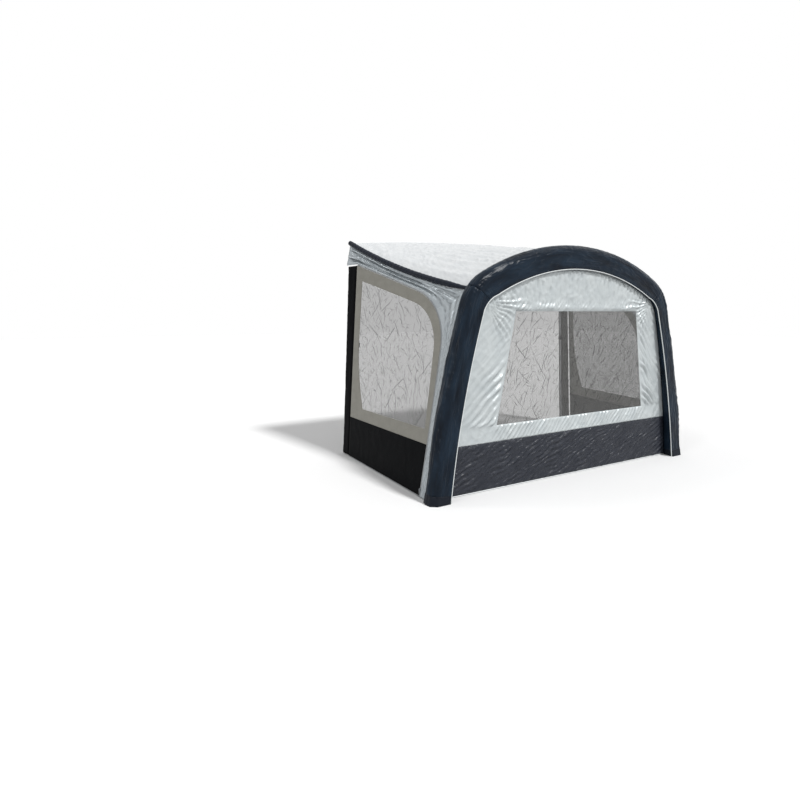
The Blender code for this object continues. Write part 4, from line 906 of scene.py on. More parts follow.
front = {
    "skirtHeight": 0.445, "windowBottom": 0.595, "windowTop": 1.61,
    "windowBottomHalf": 0.977, "windowTopHalf": 0.803, "windowOffset": 0.05,
    "hemRadius": 0.005, "hemLift": 0.003, "across": 42, "spacing": 0.0105, "shoulderHeight": 1.80,
    "windowGrid": (100, 160), "skirtGrid": (48, 240), "gap": 0.0004, "filmGap": 0.0008,
    "hollows": (4, 0.0140), "panelThick": 0.0012, "filmThick": 0.0006, "skirtThick": 0.0016,
    "cornerFan": 0.0120, "archFan": 0.0110, "uprightCrease": 0.0045, "smallCrease": 0.0040,
    "windowRidge": 0.0035, "crease": 0.0030, "filmWave": 0.0045, "skirtWave": 0.0030,
    "edgeSpacing": 0.006,
}
hemTop = front["hemLift"] + 2 * front["hemRadius"]

# right half of the line behind the fascia's return, as (x, z), foot to crown
edgeLine = []
for s in steps(0, crownAt, front["edgeSpacing"]):
    spot = onBeam(1, s, -flangeReach(s) + beam["flange"], 0)
    edgeLine.append(Vector((spot.x, spot.z)))
cornerPoint = min(edgeLine, key=lambda p: (p - beamAt(cornerAt)[0]).length)


def edgeX(height):
    for low, high in zip(edgeLine, edgeLine[1:]):
        if high.y >= height:
            return mix(low.x, high.x, (height - low.y) / (high.y - low.y))
    return 0


def onFront(x, z, proud=0):
    return Vector((x, panelY(z) - proud, z))


def windowCorners(grow=0):
    low, high = front["windowBottom"] - grow, front["windowTop"] + grow
    bottom, top = front["windowBottomHalf"] + grow, front["windowTopHalf"] + grow
    middle = front["windowOffset"]
    return [Vector((middle - bottom, low)), Vector((middle + bottom, low)),
            Vector((middle + top, high)), Vector((middle - top, high))]


def cornerFan(x, z, seed):
    # creases that spread from the beam's inner corner towards the window
    value = 0
    for side in (-1, 1):
        inwards, drop = cornerPoint.x - side * x, cornerPoint.y - z
        reach, bearing = hypot(inwards, drop), atan2(drop, inwards)
        spread = waves(bearing / 0.17, 0.5, x / 0.12, z / 0.12, seed + side)
        within = ease((bearing + 0.25) / 0.3) * ease((1.35 - bearing) / 0.5)
        value += spread * within * ease(reach / 0.07) * bump((reach - 0.22) / 0.20)
    return value


# folds of the front wall by place: height, angle, its change along x, width, seed and warp
frontFolds = {
    "left": (0.0250, 41, 0, 0.066, 1.5, 0.35), "right": (0.0250, 136, 0, 0.058, 2.5, 0.35),
    "leftFine": (0.0075, 46, 0, 0.031, 6.1, 0.35), "rightFine": (0.0075, 124, 0, 0.028, 7.1, 0.35),
    "slant": (0.0030, 24, 34, 0.061, 4.5, 0.7), "steep": (0.0105, 88, -30, 0.052, 12.5, 0.9),
    "topBand": (0.0120, 56, 0, 0.034, 5.5, 0.7), "underWindow": (0.0150, 55, 0, 0.042, 9.5, 0.4),
    "below": (0.0030, 60, 0, 0.08, 3.9, 0.25), "film": (0.0016, 50, 0, 0.11, 7.7, 0.6),
    "skirt": (0.0120, 27, 0, 0.046, 11.5, 0.9), "skirtFine": (0.0065, 40, 0, 0.024, 15.5, 0.9),
}


def foldAt(place, x, z):
    height, degrees, drift, width, seed, warp = frontFolds[place]
    return height * foldsAlong(x, z, degrees + drift * x, width, seed, warp)


def frontFold(x, z):
    lowLeft, lowRight, topRight, topLeft = windowCorners()
    t = (z - lowLeft.y) / (topLeft.y - lowLeft.y)
    leftX, rightX = mix(lowLeft.x, topLeft.x, t), mix(lowRight.x, topRight.x, t)
    below = ease((lowLeft.y + 0.03 - z) / 0.06)
    above = ease((z - topLeft.y + 0.06) / 0.12)
    # beside the window
    left = ease((leftX + 0.02 - x) / 0.08) * (1 - below) * (1 - 0.6 * above)
    right = ease((x - rightX + 0.02) / 0.08) * (1 - below) * (1 - 0.6 * above)
    near = bump((leftX - x) / 0.34) * left + bump((x - rightX) / 0.26) * right
    lower = 0.45 + 0.55 * ease((1.25 - z) / 0.25)
    value = lower * near * (left * foldAt("left", x, z) + right * foldAt("right", x, z))
    value += near * (left * foldAt("leftFine", x, z) + right * foldAt("rightFine", x, z))
    # under the arch
    value += front["cornerFan"] * cornerFan(x, z, 4.2)
    spoke = Vector((x, z - awning["archHeight"] + archBend))
    fromArch = archBend - beam["archRadius"] - beam["archOverhang"] - spoke.length
    fan = waves(atan2(spoke.x, spoke.y) * archBend / 0.062, 0.5, x / 0.1, z / 0.1, 3.3)
    fan *= 0.3 + 0.7 * patches(x / 0.2, z / 0.3, 8, 1.4)
    value += front["archFan"] * above * bump(fromArch / 0.16) * fan
    clear = above * ease(fromArch / 0.05)
    value += foldAt("slant", x, z) * patches(x / 0.11, z / 0.11, 21, 2.2) * clear
    value += foldAt("steep", x, z) * patches(x / 0.13, z / 0.13, 24, -2.2) * clear
    creases = front["uprightCrease"] * crease(x / 0.034, z / 0.16, 9.9)
    creases += front["smallCrease"] * crease(x / 0.050, z / 0.075, 6.7)
    value += above * creases * ease(fromArch / 0.04)
    # over and under the window
    over = ease((x - leftX + 0.05) / 0.1) * ease((rightX - x + 0.05) / 0.1)
    value += bump((z - topLeft.y - 0.035) / 0.05) * over * foldAt("topBand", x, z)
    value += front["windowRidge"] * bump((z - topLeft.y - 0.03) / 0.03) * over
    under = below * ease((x - leftX + 0.10) / 0.2) * ease((rightX + 0.08 - x) / 0.2)
    value += foldAt("underWindow", x, z) * under + foldAt("below", x, z) * below
    return value + front["crease"] * crease(x / 0.13, z / 0.13, 2.2)


def frontLoops():
    # matching loops round the wall's edge and the window, split at their four corners
    low = front["skirtHeight"] + 0.0006
    right = [Vector((edgeX(low), low))] + [p for p in edgeLine if p.y > low]
    left = [Vector((-p.x, p.y)) for p in right]
    split = next(k for k, p in enumerate(right) if p.y > front["shoulderHeight"])
    outer = [[left[0], right[0]], right[:split + 1],
             right[split:] + left[split:-1][::-1], left[:split + 1][::-1]]
    corners = windowCorners()
    loops = [[], []]
    for k, run in enumerate(outer):
        count = ceil(runLengths(run)[-1] / front["spacing"])
        loops[0] += resample(run, count)[:-1]
        loops[1] += resample([corners[k], corners[(k + 1) % 4]], count)[:-1]
    return loops


def makeFrontPanel():
    def place(t, spot):
        held = ease(t * 14) * ease((1 - t) * 10 + 0.12)
        return onFront(spot.x, spot.y, held * frontFold(spot.x, spot.y))

    rows = between(*frontLoops(), front["across"], place)
    sewRow("pale", "awning", rows, front["across"] - 0.55, frontwards, closed=True)
    makeSheet("frontPanel", rows, "awning", "silver_fabric", silverCloth, "front_panel",
              front["panelThick"], "stretched", "arch_sleeve",
              closed=True, flatAxis=0, hollows=front["hollows"])


def makeFrontWindow():
    lowLeft, lowRight, topRight, topLeft = windowCorners(-front["filmGap"])

    def place(u, v):
        spot = mix(mix(lowLeft, topLeft, v), mix(lowRight, topRight, v), u)
        held = ease(min(u, 1 - u) * 14) * ease(min(v, 1 - v) * 9)
        wave = front["filmWave"] * wobble(spot.x / 0.30, spot.y / 0.24, 4.4)
        return onFront(spot.x, spot.y, held * (wave + foldAt("film", spot.x, spot.y)))

    makeSheet("frontWindow", gridOf(*front["windowGrid"], place), "awning", "clear_film", clearFilm,
              "front_window", front["filmThick"], "stretched", "frontPanel", flatAxis=0)


def makeFrontSkirt():
    low, high = hemTop + front["filmGap"], front["skirtHeight"] - front["gap"]

    def place(u, v):
        z = mix(low, high, v)
        reach = edgeX(z)
        x = mix(-reach, reach, u)
        held = ease((high - z) / 0.02) * ease((reach - abs(x)) / 0.03)
        fold = foldAt("skirt", x, z) + foldAt("skirtFine", x, z)
        fold += front["skirtWave"] * wobble(x / 0.3, z / 0.12, 6.6)
        return onFront(x, z, held * ease((z - low) / 0.02 + 0.2) * fold)

    rows = gridOf(*front["skirtGrid"], place)
    for seam in (len(rows) - 1.5, 0.6):
        sewRow("dark", "awning", rows, seam, frontwards)
    makeSheet("frontSkirt", rows, "awning", "skirt_fabric", skirtCloth, "front_skirt",
              front["skirtThick"], "hung", "frontPanel", flatAxis=0)
    hemX = edgeX(hemTop) - beam["flange"] - 0.001
    hemZ = front["hemLift"] + front["hemRadius"]
    hemLine = [Vector((x, panelY(0), hemZ)) for x in steps(-hemX, hemX, 0.05)]
    dress(tubeAlong("frontHem", hemLine, front["hemRadius"]), "awning", "pale_piping", pipingCloth,
          "front_hem_piping")


makeFrontPanel()
makeFrontWindow()
makeFrontSkirt()
print("front wall dressed")


# side walls: the zip line shared by the silver panel, the zip and the door

wall = {
    "padDepth": 0.17, "padThickness": 0.07, "zipFoot": 0.098, "zipCorner": 0.20,
    "zipCornerHeight": 1.68, "zipRadius": 0.60, "zipWidth": 0.012, "doorHeight": 2.117,
    "windowBottom": 0.575, "borderFront": 0.062, "borderTop": 0.150, "borderHinge": 0.10,
    "borderFlare": 0.15, "flareHeight": 1.30, "panelThick": 0.0014, "hollows": (3, 0.0060),
    "along": 300, "across": 40, "start": 0.003, "beadRadius": 0.0032, "beadBack": 0.0035,
    "billow": 0.018, "pleat": 0.0290, "finePleat": 0.0080, "legPleat": 0.0050, "pucker": 0.0110,
    "crease": 0.0040, "outerSpacing": 0.010, "edgeSpacing": 0.008, "innerSpacing": 0.012,
    "rearGap": 0.001,
}
hingeY = rearY - wall["padDepth"]
bootSeamY = seamPoint(1, bootAt).y
zipFoot = Vector((bootSeamY + wall["zipFoot"], 0))
zipCorner = Vector((bootSeamY + wall["zipCorner"], wall["zipCornerHeight"]))
zipEnd = Vector((hingeY - wall["zipWidth"] / 2, wall["doorHeight"]))
zipRise, zipRun = (zipCorner - zipFoot).normalized(), (zipEnd - zipCorner).normalized()
zipTurn = atan2(zipRise.y, zipRise.x) - atan2(zipRun.y, zipRun.x)
zipTangent = wall["zipRadius"] * tan(zipTurn / 2)
zipFront = (zipCorner - zipFoot).length - zipTangent
zipArc = wall["zipRadius"] * zipTurn
zipLength = zipFront + zipArc + (zipEnd - zipCorner).length - zipTangent


def zipPoint(travel, inset=0):
    if travel <= zipFront:
        along = zipRise
        point = zipFoot + along * travel
    elif travel <= zipFront + zipArc:
        heading = atan2(zipRise.y, zipRise.x) - (travel - zipFront) / wall["zipRadius"]
        along = Vector((cos(heading), sin(heading)))
        center = zipCorner - zipRise * zipTangent
        center += Vector((zipRise.y, -zipRise.x)) * wall["zipRadius"]
        point = center + Vector((-along.y, along.x)) * wall["zipRadius"]
    else:
        along = zipRun
        point = zipEnd - along * (zipLength - travel)
    return point + Vector((along.y, -along.x)) * inset


def zipTravelAt(height):
    return height / zipRise.y


roofEdge = {
    "radius": 0.027, "taper": 0.6, "sag": 0.058, "standoff": 0.003, "gather": 0.0022, "segments": 8,
    "around": 24, "spacing": 0.005, "foldRun": 1.9, "loose": 0.0012,
}


def roofEdgePoint(side, share, angle, proud=0):
    size = roofEdge["radius"]
    start = seamPoint(side, cornerAt, roofEdge["standoff"])
    end = Vector((side * (awning["railHalf"] - size), rearY, awning["railHeight"] - size))
    center, along = mix(start, end, share), end - start
    center.z -= 4 * roofEdge["sag"] * share * (1 - share)
    along.z -= 4 * roofEdge["sag"] * (1 - 2 * share)
    along.normalize()
    inwards = Vector((-side, 0, 0))
    inwards = (inwards - along * inwards.dot(along)).normalized()
    upwards = along.cross(inwards)
    if upwards.z < 0:
        upwards.negate()
    radius = size * mix(roofEdge["taper"], 1, min(share * roofEdge["segments"], 1)) + proud
    point = center + inwards * (radius * cos(angle)) + upwards * (radius * sin(angle))
    if point.y > rearY:
        point += along * ((rearY - point.y) / along.y)
    return point


def cornerSeamAt(step):
    # place on the sleeve's seam where it clears the end of the roof edge
    return cornerAt + step * (roofEdge["radius"] * roofEdge["taper"] + awning["stitchGap"])


def panelOuterLine(side):
    run = steps(wall["start"], cornerSeamAt(-1), wall["outerSpacing"])
    line = [seamPoint(side, s) for s in run]
    for share in steps(0.045, 1, wall["edgeSpacing"]):
        line.append(roofEdgePoint(side, share, -pi / 2, awning["seamStandoff"]))
    return [p for p in line if p.y < rearY - wall["rearGap"]]


def panelInnerLine(side):
    edge, spacing = -wall["zipWidth"] / 2 - awning["stitchGap"], wall["innerSpacing"]
    flats = [zipPoint(t, edge) for t in steps(zipTravelAt(wall["start"]), zipLength, spacing)]
    last = flats[-1]
    flats += [Vector((y, last.y)) for y in steps(last.x, rearY - wall["rearGap"], spacing)[1:]]
    return [onWall(side, p.x, p.y) for p in flats]


def sidePanelFold(share, v, length, seed):
    # share runs from the outer edge to the zip, v in metres up the leg and along the roof's edge
    back = ease((v / length - 0.33) / 0.5)
    held = sin(pi * share)
    drift = 0.25 * wobble(v / 0.35, share * 3, seed)
    patchy = 0.7 + 0.8 * wobble(v / 0.28, share * 2.5, seed + 3)
    value = wall["billow"] * back * sin(2 * pi * 2.5 * share)
    value += wall["pleat"] * back * patchy * (ripple(share * 4 + drift + v * 0.8) - 0.4)
    value += wall["finePleat"] * back * (ripple(share * 9.5 + 2.2 * drift + v * 0.7) - 0.4)
    legs = 1 - 0.5 * back
    value += wall["legPleat"] * legs * (ripple(share * 4 + v * 1.3 + 0.4 * drift) - 0.4)
    value += wall["pucker"] * bump((length - v) / 0.22) * wobble(share * 14, v / 0.30, seed + 5)
    return value * held + wall["crease"] * crease(v / 0.09, share * 7, seed + 8) * ease(held * 3)


def makeSidePanel(name, side):
    outer = resample(panelOuterLine(side), wall["along"])
    inner = resample(panelInnerLine(side), wall["along"])
    travel = runLengths([mix(a, b, 0.5) for a, b in zip(outer, inner)])

    def place(start, end, share, v):
        point = mix(start, end, share)
        fold = sidePanelFold(share, v, travel[-1], 3.0 + side)
        point.x += side * fold * ease((travel[-1] - v) / 0.10 + 0.16)
        return point

    shares = [c / wall["across"] for c in range(wall["across"] + 1)]
    rows = [[place(a, b, share, v) for share in shares] for a, b, v in zip(outer, inner, travel)]
    columns = [list(line) for line in zip(*rows)]
    for seam in (0.4, wall["across"] - 0.5):
        sewRow("pale", "awning", columns, seam, Vector((side, 0, 0)))
    beadLine = [p + Vector((0, wall["beadBack"], 0)) for p in rows[-1][::2]]
    dress(tubeAlong(name + "RearBead", beadLine, wall["beadRadius"], 8), "awning", "pale_piping",
          pipingCloth)
    makeSheet(name + "SidePanel", rows, "awning", "silver_fabric", shadedWallCloth, name + "_side_panel",
              wall["panelThick"], "hung", name + "_leg_sleeve", name + "_roof_edge",
              hollows=wall["hollows"])


door = {
    "up": 110, "across": 90, "borderRows": 12, "spacing": 0.014, "skirtGrid": (40, 100),
    "borderWave": 0.0022, "hingeGather": 0.0055, "filmWave": 0.0050, "skirtFold": 0.0018,
    "skirtWave": 0.0016, "hemEnd": 0.005,
}


def doorGridLines(bottom, frontInset, topInset, hinge, flare=0.0):
    # rear, top, front and bottom edges of a door piece as (y, z)
    start = zipTravelAt(bottom)
    middle = zipFront + zipArc / 2

    def alongZip(first):
        travels = steps(first, middle, door["spacing"])
        insets = [mix(frontInset, topInset, (t - start) / (zipLength - start)) for t in travels]
        return [zipPoint(t, inset) for t, inset in zip(travels, insets)]

    top = [p for p in alongZip(zipLength + 0.02) if p.x < hinge]
    slope = (top[0].y - top[1].y) / (top[0].x - top[1].x)
    top = [Vector((hinge, top[0].y + slope * (hinge - top[0].x)))] + top
    rise, top = resample(alongZip(start), door["up"]), resample(top, door["across"])
    rear = []
    for k in range(door["up"] + 1):
        spot = mix(Vector((hinge, rise[0].y)), top[0], k / door["up"])
        droop = (wall["flareHeight"] - spot.y) / (wall["flareHeight"] - wall["windowBottom"])
        spot.x -= flare * max(droop, 0) ** 2
        rear.append(spot)
    low = [mix(rear[0], rise[0], k / door["across"]) for k in range(door["across"] + 1)]
    return rear, top, rise, low


def makeDoor(name, side):
    body = name + "_door"
    outwards = Vector((side, 0, 0))
    zipEdge = wall["zipWidth"] / 2 + awning["stitchGap"]
    hinge = hingeY - awning["stitchGap"]
    low, high = hemTop + front["filmGap"], front["skirtHeight"]
    outer = doorGridLines(high + front["gap"], zipEdge, zipEdge, hinge)
    opening = [wall["windowBottom"], wall["borderFront"], wall["borderTop"],
               hingeY - wall["borderHinge"]]

    def loop(rear, top, rise, low):
        return rear[:-1] + top[:-1] + rise[:0:-1] + low[:0:-1]

    def placeBorder(t, spot):
        held = ease(t * 6) * ease((1 - t) * 5 + 0.2)
        wave = door["borderWave"] * wobble(spot.x / 0.18, spot.y / 0.16, 5 + side)
        gathered = waves(spot.y / 0.11, 0.4, 0, spot.y / 0.2, 3)
        wave += door["hingeGather"] * bump((hingeY - 0.05 - spot.x) / 0.07) * gathered
        return onWall(side, spot.x, spot.y, held * wave)

    inner = doorGridLines(*opening, wall["borderFlare"])
    rows = between(loop(*outer), loop(*inner), door["borderRows"], placeBorder)
    for seam in (door["borderRows"] - 0.8, 0.9):
        sewRow("pale", body, rows, seam, outwards, closed=True)
    makeSheet(name + "DoorSurround", rows, body, "taupe_fabric", taupeCloth,
              name + "_door_surround", wall["panelThick"], "hung", name + "_zip_chain",
              closed=True, flatAxis=1)

    inset = [value + front["filmGap"] for value in opening[:3]] + [opening[3] - front["filmGap"]]
    rear, top, rise, foot = doorGridLines(*inset, wall["borderFlare"])
    up, across = door["up"], door["across"]

    def placeFilm(u, v):
        i, j = round(v * up), round(u * across)
        spot = mix(foot[j], top[j], v) + mix(rear[i], rise[i], u)
        spot -= mix(mix(foot[0], foot[-1], u), mix(top[0], top[-1], u), v)
        held = ease(min(i, up - i) / 14) * ease(min(j, across - j) / 12)
        wave = door["filmWave"] * wobble(spot.x / 0.26, spot.y / 0.30, 8 + side)
        return onWall(side, spot.x, spot.y, held * wave)

    makeSheet(name + "DoorWindow", gridOf(up, across, placeFilm), body, "clear_film", clearFilm,
              name + "_door_window", front["filmThick"], "hung", name + "DoorSurround", flatAxis=1)

    skirtUp, skirtAcross = door["skirtGrid"]

    def placeSkirt(u, v):
        z = mix(low, high - front["gap"], v)
        y = mix(hinge, zipPoint(zipTravelAt(z), zipEdge).x, u)
        held = ease(min(v, 1 - v) * skirtUp / 5) * ease(min(u, 1 - u) * skirtAcross / 5)
        wave = door["skirtFold"] * foldsAlong(y, z, 75, 0.13, 3 + side, 0.7)
        wave += door["skirtWave"] * wobble(y / 0.2, z / 0.12, 9)
        return onWall(side, y, z, held * wave)

    rows = gridOf(skirtUp, skirtAcross, placeSkirt)
    sewRow("dark", body, rows, skirtUp - 0.6, outwards)
    makeSheet(name + "DoorSkirt", rows, body, "skirt_fabric", doorSkirtCloth, name + "_door_skirt",
              front["skirtThick"], "hung", name + "DoorSurround", flatAxis=1)

    z = front["hemLift"] + front["hemRadius"]
    edge = zipPoint(zipTravelAt(z), zipEdge)
    run = steps(hinge - door["hemEnd"], edge.x + door["hemEnd"], 0.06)
    line = [onWall(side, y, z) for y in run]
    dress(tubeAlong(name + "DoorHem", line, front["hemRadius"]), body, "grey_piping", greyPiping,
          name + "_door_hem_piping")


for name, side in sides.items():
    makeSidePanel(name, side)
    makeDoor(name, side)
print("side walls dressed")


# zip: two tapes under a row of coil turns

zipper = {
    "pitch": 0.0042, "tooth": (0.0050, 0.0017, 0.0012), "tape": 0.0011, "lift": 0.0010,
    "lean": 0.35, "bevel": 0.0003, "foot": 0.006, "tapeRidge": 0.0004,
}


def makeZip(name, side):
    half = wall["zipWidth"] / 2

    def onZip(travel, inset, proud):
        spot = zipPoint(travel, inset)
        return onWall(side, spot.x, spot.y, proud)

    rows = []
    for t in steps(zipTravelAt(wall["start"]), zipLength, 0.010):
        insets = [mix(-half, half, k / 6) for k in range(7)]
        rows.append([onZip(t, w, zipper["tapeRidge"] * bump(w / 0.0012)) for w in insets])
    tape = clothGrid(name + "ZipTape", rows)
    thicken(tape, zipper["tape"])
    bm = bmesh.new()
    for k in range(int((zipLength - zipper["foot"]) / zipper["pitch"])):
        t = zipper["foot"] + k * zipper["pitch"]
        spot = onZip(t, 0, zipper["lift"])
        along = (onZip(t + 0.001, 0, zipper["lift"]) - spot).normalized()
        across = (onZip(t, 0.002, zipper["lift"]) - spot).normalized()
        across = (across + along * zipper["lean"]).normalized()
        up = along.cross(across).normalized()
        turn = Matrix((across, along, up)).transposed().to_4x4()
        scale = Matrix.Diagonal((*zipper["tooth"], 1))
        bmesh.ops.create_cube(bm, size=1, matrix=Matrix.Translation(spot) @ turn @ scale)
    bmesh.ops.bevel(bm, geom=bm.edges[:], offset=zipper["bevel"], segments=1, affect="EDGES")
    teeth = meshObject(name + "ZipTeeth", bm)
    faceOutwards(teeth)
    dress(tape, "awning", "zip_tape", greyPiping, name + "_zip_chain")
    dress(teeth, "awning", "zip_tape", greyPiping)


for name, side in sides.items():
    makeZip(name, side)
print("zips made")


# roof: sheet from the arch to the rear rail, padded edge tubes and the rail's bead

roof = {
    "acrossHalf": 90, "deep": 110, "sag": 0.010, "bead": 0.0035, "thick": 0.0014, "drop": 0.003,
    "fan": 0.0120, "billow": 0.0070, "edgeGather": 0.0065, "slant": 0.0090, "crease": 0.0045,
}


def roofLines():
    start = cornerSeamAt(1)
    half = [seamPoint(-1, s) for s in steps(start, crownAt, 0.012)]
    frontLine = half + [Vector((-p.x, p.y, p.z)) for p in reversed(half[:-1])]
    frontLine = resample(frontLine, 2 * roof["acrossHalf"])
    stop = rearY - 2 * roof["bead"] - awning["seamStandoff"]
    sideLines = []
    for side in (-1, 1):
        line = [seamPoint(side, start)]
        for share in steps(0.06, 1, 0.01):
            line.append(roofEdgePoint(side, share, 0, awning["seamStandoff"]))
        kept = [p for p in line if p.y < stop]
        last = line[len(kept)]
        kept.append(mix(kept[-1], last, (stop - kept[-1].y) / (last.y - kept[-1].y)))
        sideLines.append(resample(kept, roof["deep"]))
    corner = sideLines[0][-1]
    rear = []
    for point in frontLine:
        share = point.x / abs(frontLine[0].x)
        rise = (awning["railHeight"] + awning["railRise"] - corner.z) * (1 - share * share)
        rear.append(Vector((share * abs(corner.x), corner.y, corner.z + rise)))
    return frontLine, rear, sideLines


def roofFold(x, y, v, spread):
    fan = waves(x / (0.10 * mix(1, 1.3, v)), 0.6, x / 0.3, y / 0.4, 2.8)
    gathers = waves(y / 0.07, 0.5, x / 0.1, y / 0.1, 1.9)
    fold = roof["fan"] * fan * bump(v / 0.5) + roof["billow"] * wobble(x / 0.16, y / 0.22, 6.4)
    fold += roof["edgeGather"] * bump((1 - spread) / 0.12) * gathers
    fold += roof["slant"] * foldsAlong(x, y, 20 - 40 * x, 0.06, 8.8, 1.2)
    return fold + roof["crease"] * crease(x / 0.10, y / 0.13, 5.2) - roof["drop"]


def makeRoof():
    frontLine, rear, (left, right) = roofLines()
    deep, across = roof["deep"], 2 * roof["acrossHalf"]

    def place(u, v):
        i, j = round(v * deep), round(u * across)
        point = mix(frontLine[j], rear[j], v) + mix(left[i], right[i], u)
        point -= mix(mix(frontLine[0], frontLine[-1], u), mix(rear[0], rear[-1], u), v)
        spread = abs(2 * u - 1)
        sag = roofEdge["sag"] * (1 - spread ** 4) - roof["sag"] * sin(pi * spread) ** 2
        point.z += 4 * v * (1 - v) * sag
        held = ease(min(v, 1 - v) * 12) * ease(min(u, 1 - u) * 20)
        point.z += held * roofFold(point.x, point.y, v, spread)
        return point

    rows = gridOf(deep, across, place)
    for seam in (0.5, deep - 0.7):
        sewRow("pale", "awning", rows, seam, Vector((0, 0, 1)))
    makeSheet("roofSheet", rows, "awning", "roof_fabric", roofCloth, "roof_panel", roof["thick"],
              "stretched", "arch_sleeve", "left_roof_edge", "right_roof_edge")
    shift = Vector((0, roof["bead"] + awning["seamStandoff"], 0))
    dress(tubeAlong("railBead", [p + shift for p in rear], roof["bead"], 12), "awning",
          "pale_piping", pipingCloth, "rail_bead")


def makeRoofEdge(name, side):
    rows = []
    for share in steps(0, 1, roofEdge["spacing"]):
        v = share * roofEdge["foldRun"]
        row = []
        for k in range(roofEdge["around"]):
            angle = 2 * pi * k / roofEdge["around"]
            loose = roofEdge["gather"] * (waves(v / 0.055, 0.35, v / 0.1, k / 5, 1 + side) - 0.5)
            loose += roofEdge["loose"] * wobble(v / 0.05, k / 4, 4 + side)
            # flat along the seams with the wall and the roof
            sewn = max(bump(sin((angle + pi / 2) / 2) / 0.22), bump(sin(angle / 2) / 0.22))
            loose *= ease(share * 20) * (1 - 0.9 * sewn)
            row.append(roofEdgePoint(side, share, angle, loose))
        rows.append(row)
    thing = clothGrid(name + "RoofEdge", rows, closed=True, capped=True)
    dress(thing, "awning", "navy_sleeve", edgeCloth, name + "_roof_edge")


makeRoof()
for name, side in sides.items():
    makeRoofEdge(name, side)
print("roof dressed")


# foam pads down the rear edges: a slim core, puffed up as cloth, flat at the back and the foot

pad = {
    "shrink": 0.005, "corner": 0.011, "rows": 130, "voxel": 0.008, "pressure": 4.0, "frames": 20,
    "cap": 0.0065, "spacing": 0.016, "rearGap": 0.001, "wave": 0.0022, "crease": 0.0016,
}


def padOutline():
    # round-cornered section as (depth from the hinge, distance outwards from the wall)
    shrink, turn = pad["shrink"], pad["corner"]
    low, high = shrink + turn, wall["padDepth"] - pad["rearGap"] - turn
    near, far = -turn - shrink, -wall["padThickness"] + turn + shrink
    outline = []
    for cy, cx, start in ((high, near, 90), (high, far, 0), (low, far, -90), (low, near, -180)):
        for angle in [radians(start - a) for a in (0, 30, 60, 90)]:
            outline.append(Vector((cy + turn * cos(angle), cx + turn * sin(angle))))
    dense = []
    for a, b in zip(outline, outline[1:] + outline[:1]):
        pieces = int((b - a).length / pad["spacing"]) + 1
        dense += [mix(a, b, e / pieces) for e in range(pieces)]
    return dense


def puffUp(thing):
    # remeshed, blown up by its pressure, then capped so that it stays clear of its neighbours
    bpy.ops.object.select_all(action="DESELECT")
    bpy.context.view_layer.objects.active = thing
    thing.select_set(True)
    grid = thing.modifiers.new("grid", "REMESH")
    grid.mode = "VOXEL"
    grid.voxel_size = pad["voxel"]
    bpy.ops.object.modifier_apply(modifier=grid.name)
    start = [v.co.copy() for v in thing.data.vertices]
    skin = thing.modifiers.new("cloth", "CLOTH")
    skin.settings.use_pressure = True
    skin.settings.uniform_pressure_force = pad["pressure"]
    skin.settings.effector_weights.gravity = 0
    skin.point_cache.frame_end = pad["frames"]
    for step in range(1, pad["frames"] + 1):
        bpy.context.scene.frame_set(step)
    bpy.ops.object.modifier_apply(modifier=skin.name)
    bpy.context.scene.frame_set(1)
    moved = 0
    for vertex, before in zip(thing.data.vertices, start):
        shift = vertex.co - before
        if shift.length > pad["cap"]:
            shift *= pad["cap"] / shift.length
        vertex.co = before + shift
        vertex.co.y = min(vertex.co.y, rearY)
        vertex.co.z = max(vertex.co.z, 0)
        moved = max(moved, shift.length)
    print("%s puffed up by %.1f mm at most, %d points" % (thing.name, moved * 1000, len(start)))


def makePad(name, side):
    top = zipPoint(zipLength, -wall["zipWidth"] / 2).y - pad["shrink"]
    outline = padOutline()
    rows = []
    for i in range(pad["rows"] + 1):
        z = top * i / pad["rows"]
        back, face = wallX(rearY, z), wallX(hingeY, z)
        row = []
        for spot in outline:
            loose = pad["wave"] * wobble(spot.x / 0.05, z / 0.13, 2 + side)
            loose += pad["crease"] * crease(spot.x / 0.06, z / 0.10, 4 + side)
            out = mix(face, back, spot.x / wall["padDepth"]) + spot.y + loose
            row.append(Vector((side * out, hingeY + spot.x, z)))
        rows.append(row)
    thing = clothGrid(name + "RearPad", rows, closed=True, capped=True)
    puffUp(thing)
    smooth(thing)
    soft = thing.modifiers.new("soft", "SUBSURF")
    soft.levels = soft.render_levels = 1
    dress(thing, "awning", "pad_foam", padCloth, name + "_rear_pad")


for name, side in sides.items():
    makePad(name, side)
print("pads made")

for (thread, body), bm in sewing.items():
    label, slotName, material = threads[thread]
    thing = meshObject(body + label, bm)
    faceOutwards(thing)
    dress(thing, body, slotName, material)
    print("stitches on", body, len(thing.data.polygons) // 6)

for row in frame["record"]["subparts"]:
    finish = hardFinishes.get(row["material_slot"])
    node = bpy.data.objects.get(row["node"])
    if finish and node and row["node"] not in clothNodes:
        for slot in node.material_slots:
            slot.link = "OBJECT"
            slot.material = finish
print("fittings finished")


# light, floor and camera

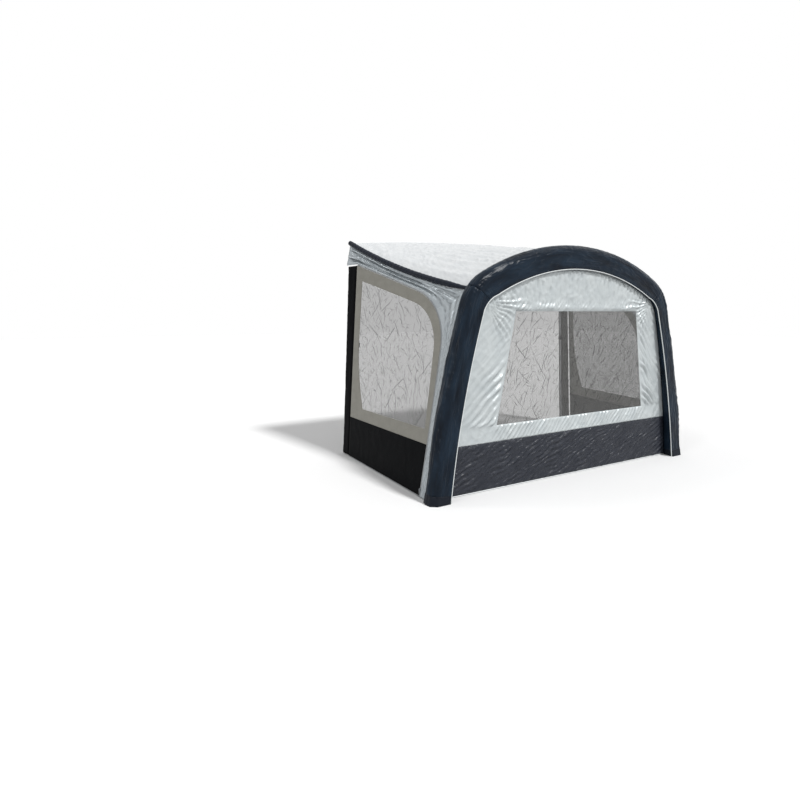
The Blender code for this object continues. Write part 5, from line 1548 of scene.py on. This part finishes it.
stage = {
    "floorColor": (0.88, 0.88, 0.88, 1), "floorBounce": (0.42, 0.42, 0.42, 1), "ambient": 0.43,
    "floorSize": 60, "floorRoughness": 0.9,
    # power, angular size and where the light comes from
    "suns": {
        "key": (2.7, 8, (0.8, -2.0, 2.7)),
        "top": (0.22, 10, (-1.5, 1.0, 2.6)),
        "fill": (0.42, 9, (-2.2, -0.6, 0.9)),
    },
    "sensor": 36, "lens": 22.527, "shift": -0.0671, "farClip": 200,
    "place": (-3.764, -4.3415, 1.611), "tilt": 86, "heading": -27.93,
}


def seenDirectly(tree):
    rays = addNode(tree, "LightPath", {})
    seen = addMath("MAXIMUM", rays["Is Camera Ray"], rays["Is Glossy Ray"])
    return addMath("MAXIMUM", seen, rays["Is Transmission Ray"])


def makeStage():
    scene = bpy.context.scene
    bpy.ops.object.select_all(action="DESELECT")
    bpy.ops.mesh.primitive_plane_add(size=stage["floorSize"], location=(0, 0, 0))
    ground = bpy.context.object
    ground.name = "floor"
    material, tree, shader = newMaterial("floorPaper", stage["floorColor"], stage["floorRoughness"])
    paper = blended(seenDirectly(tree), stage["floorBounce"], stage["floorColor"])
    fill(tree, shader, {"Base Color": paper})
    ground.data.materials.append(material)
    world = scene.world = bpy.data.worlds.new("studio")
    world.use_nodes = True
    tree = world.node_tree
    level = mapped(seenDirectly(tree), stage["ambient"])
    fill(tree, tree.nodes["Background"], {"Color": (1, 1, 1, 1), "Strength": level})
    for name, (power, spread, comesFrom) in stage["suns"].items():
        light = bpy.data.lights.new(name + "Light", "SUN")
        light.energy = power
        light.angle = radians(spread)
        lamp = newObject(name + "Light", light)
        lamp.rotation_euler = Vector(comesFrom).to_track_quat("Z", "Y").to_euler()
    camera = bpy.data.cameras.new("photoView")
    camera.sensor_width = stage["sensor"]
    camera.lens = stage["lens"]
    camera.shift_y = stage["shift"]
    camera.clip_end = stage["farClip"]
    viewer = scene.camera = newObject("photoView", camera)
    viewer.location = stage["place"]
    viewer.rotation_euler = (radians(stage["tilt"]), 0, radians(stage["heading"]))
    scene.view_settings.view_transform = "Standard"


makeStage()
print("stage set")
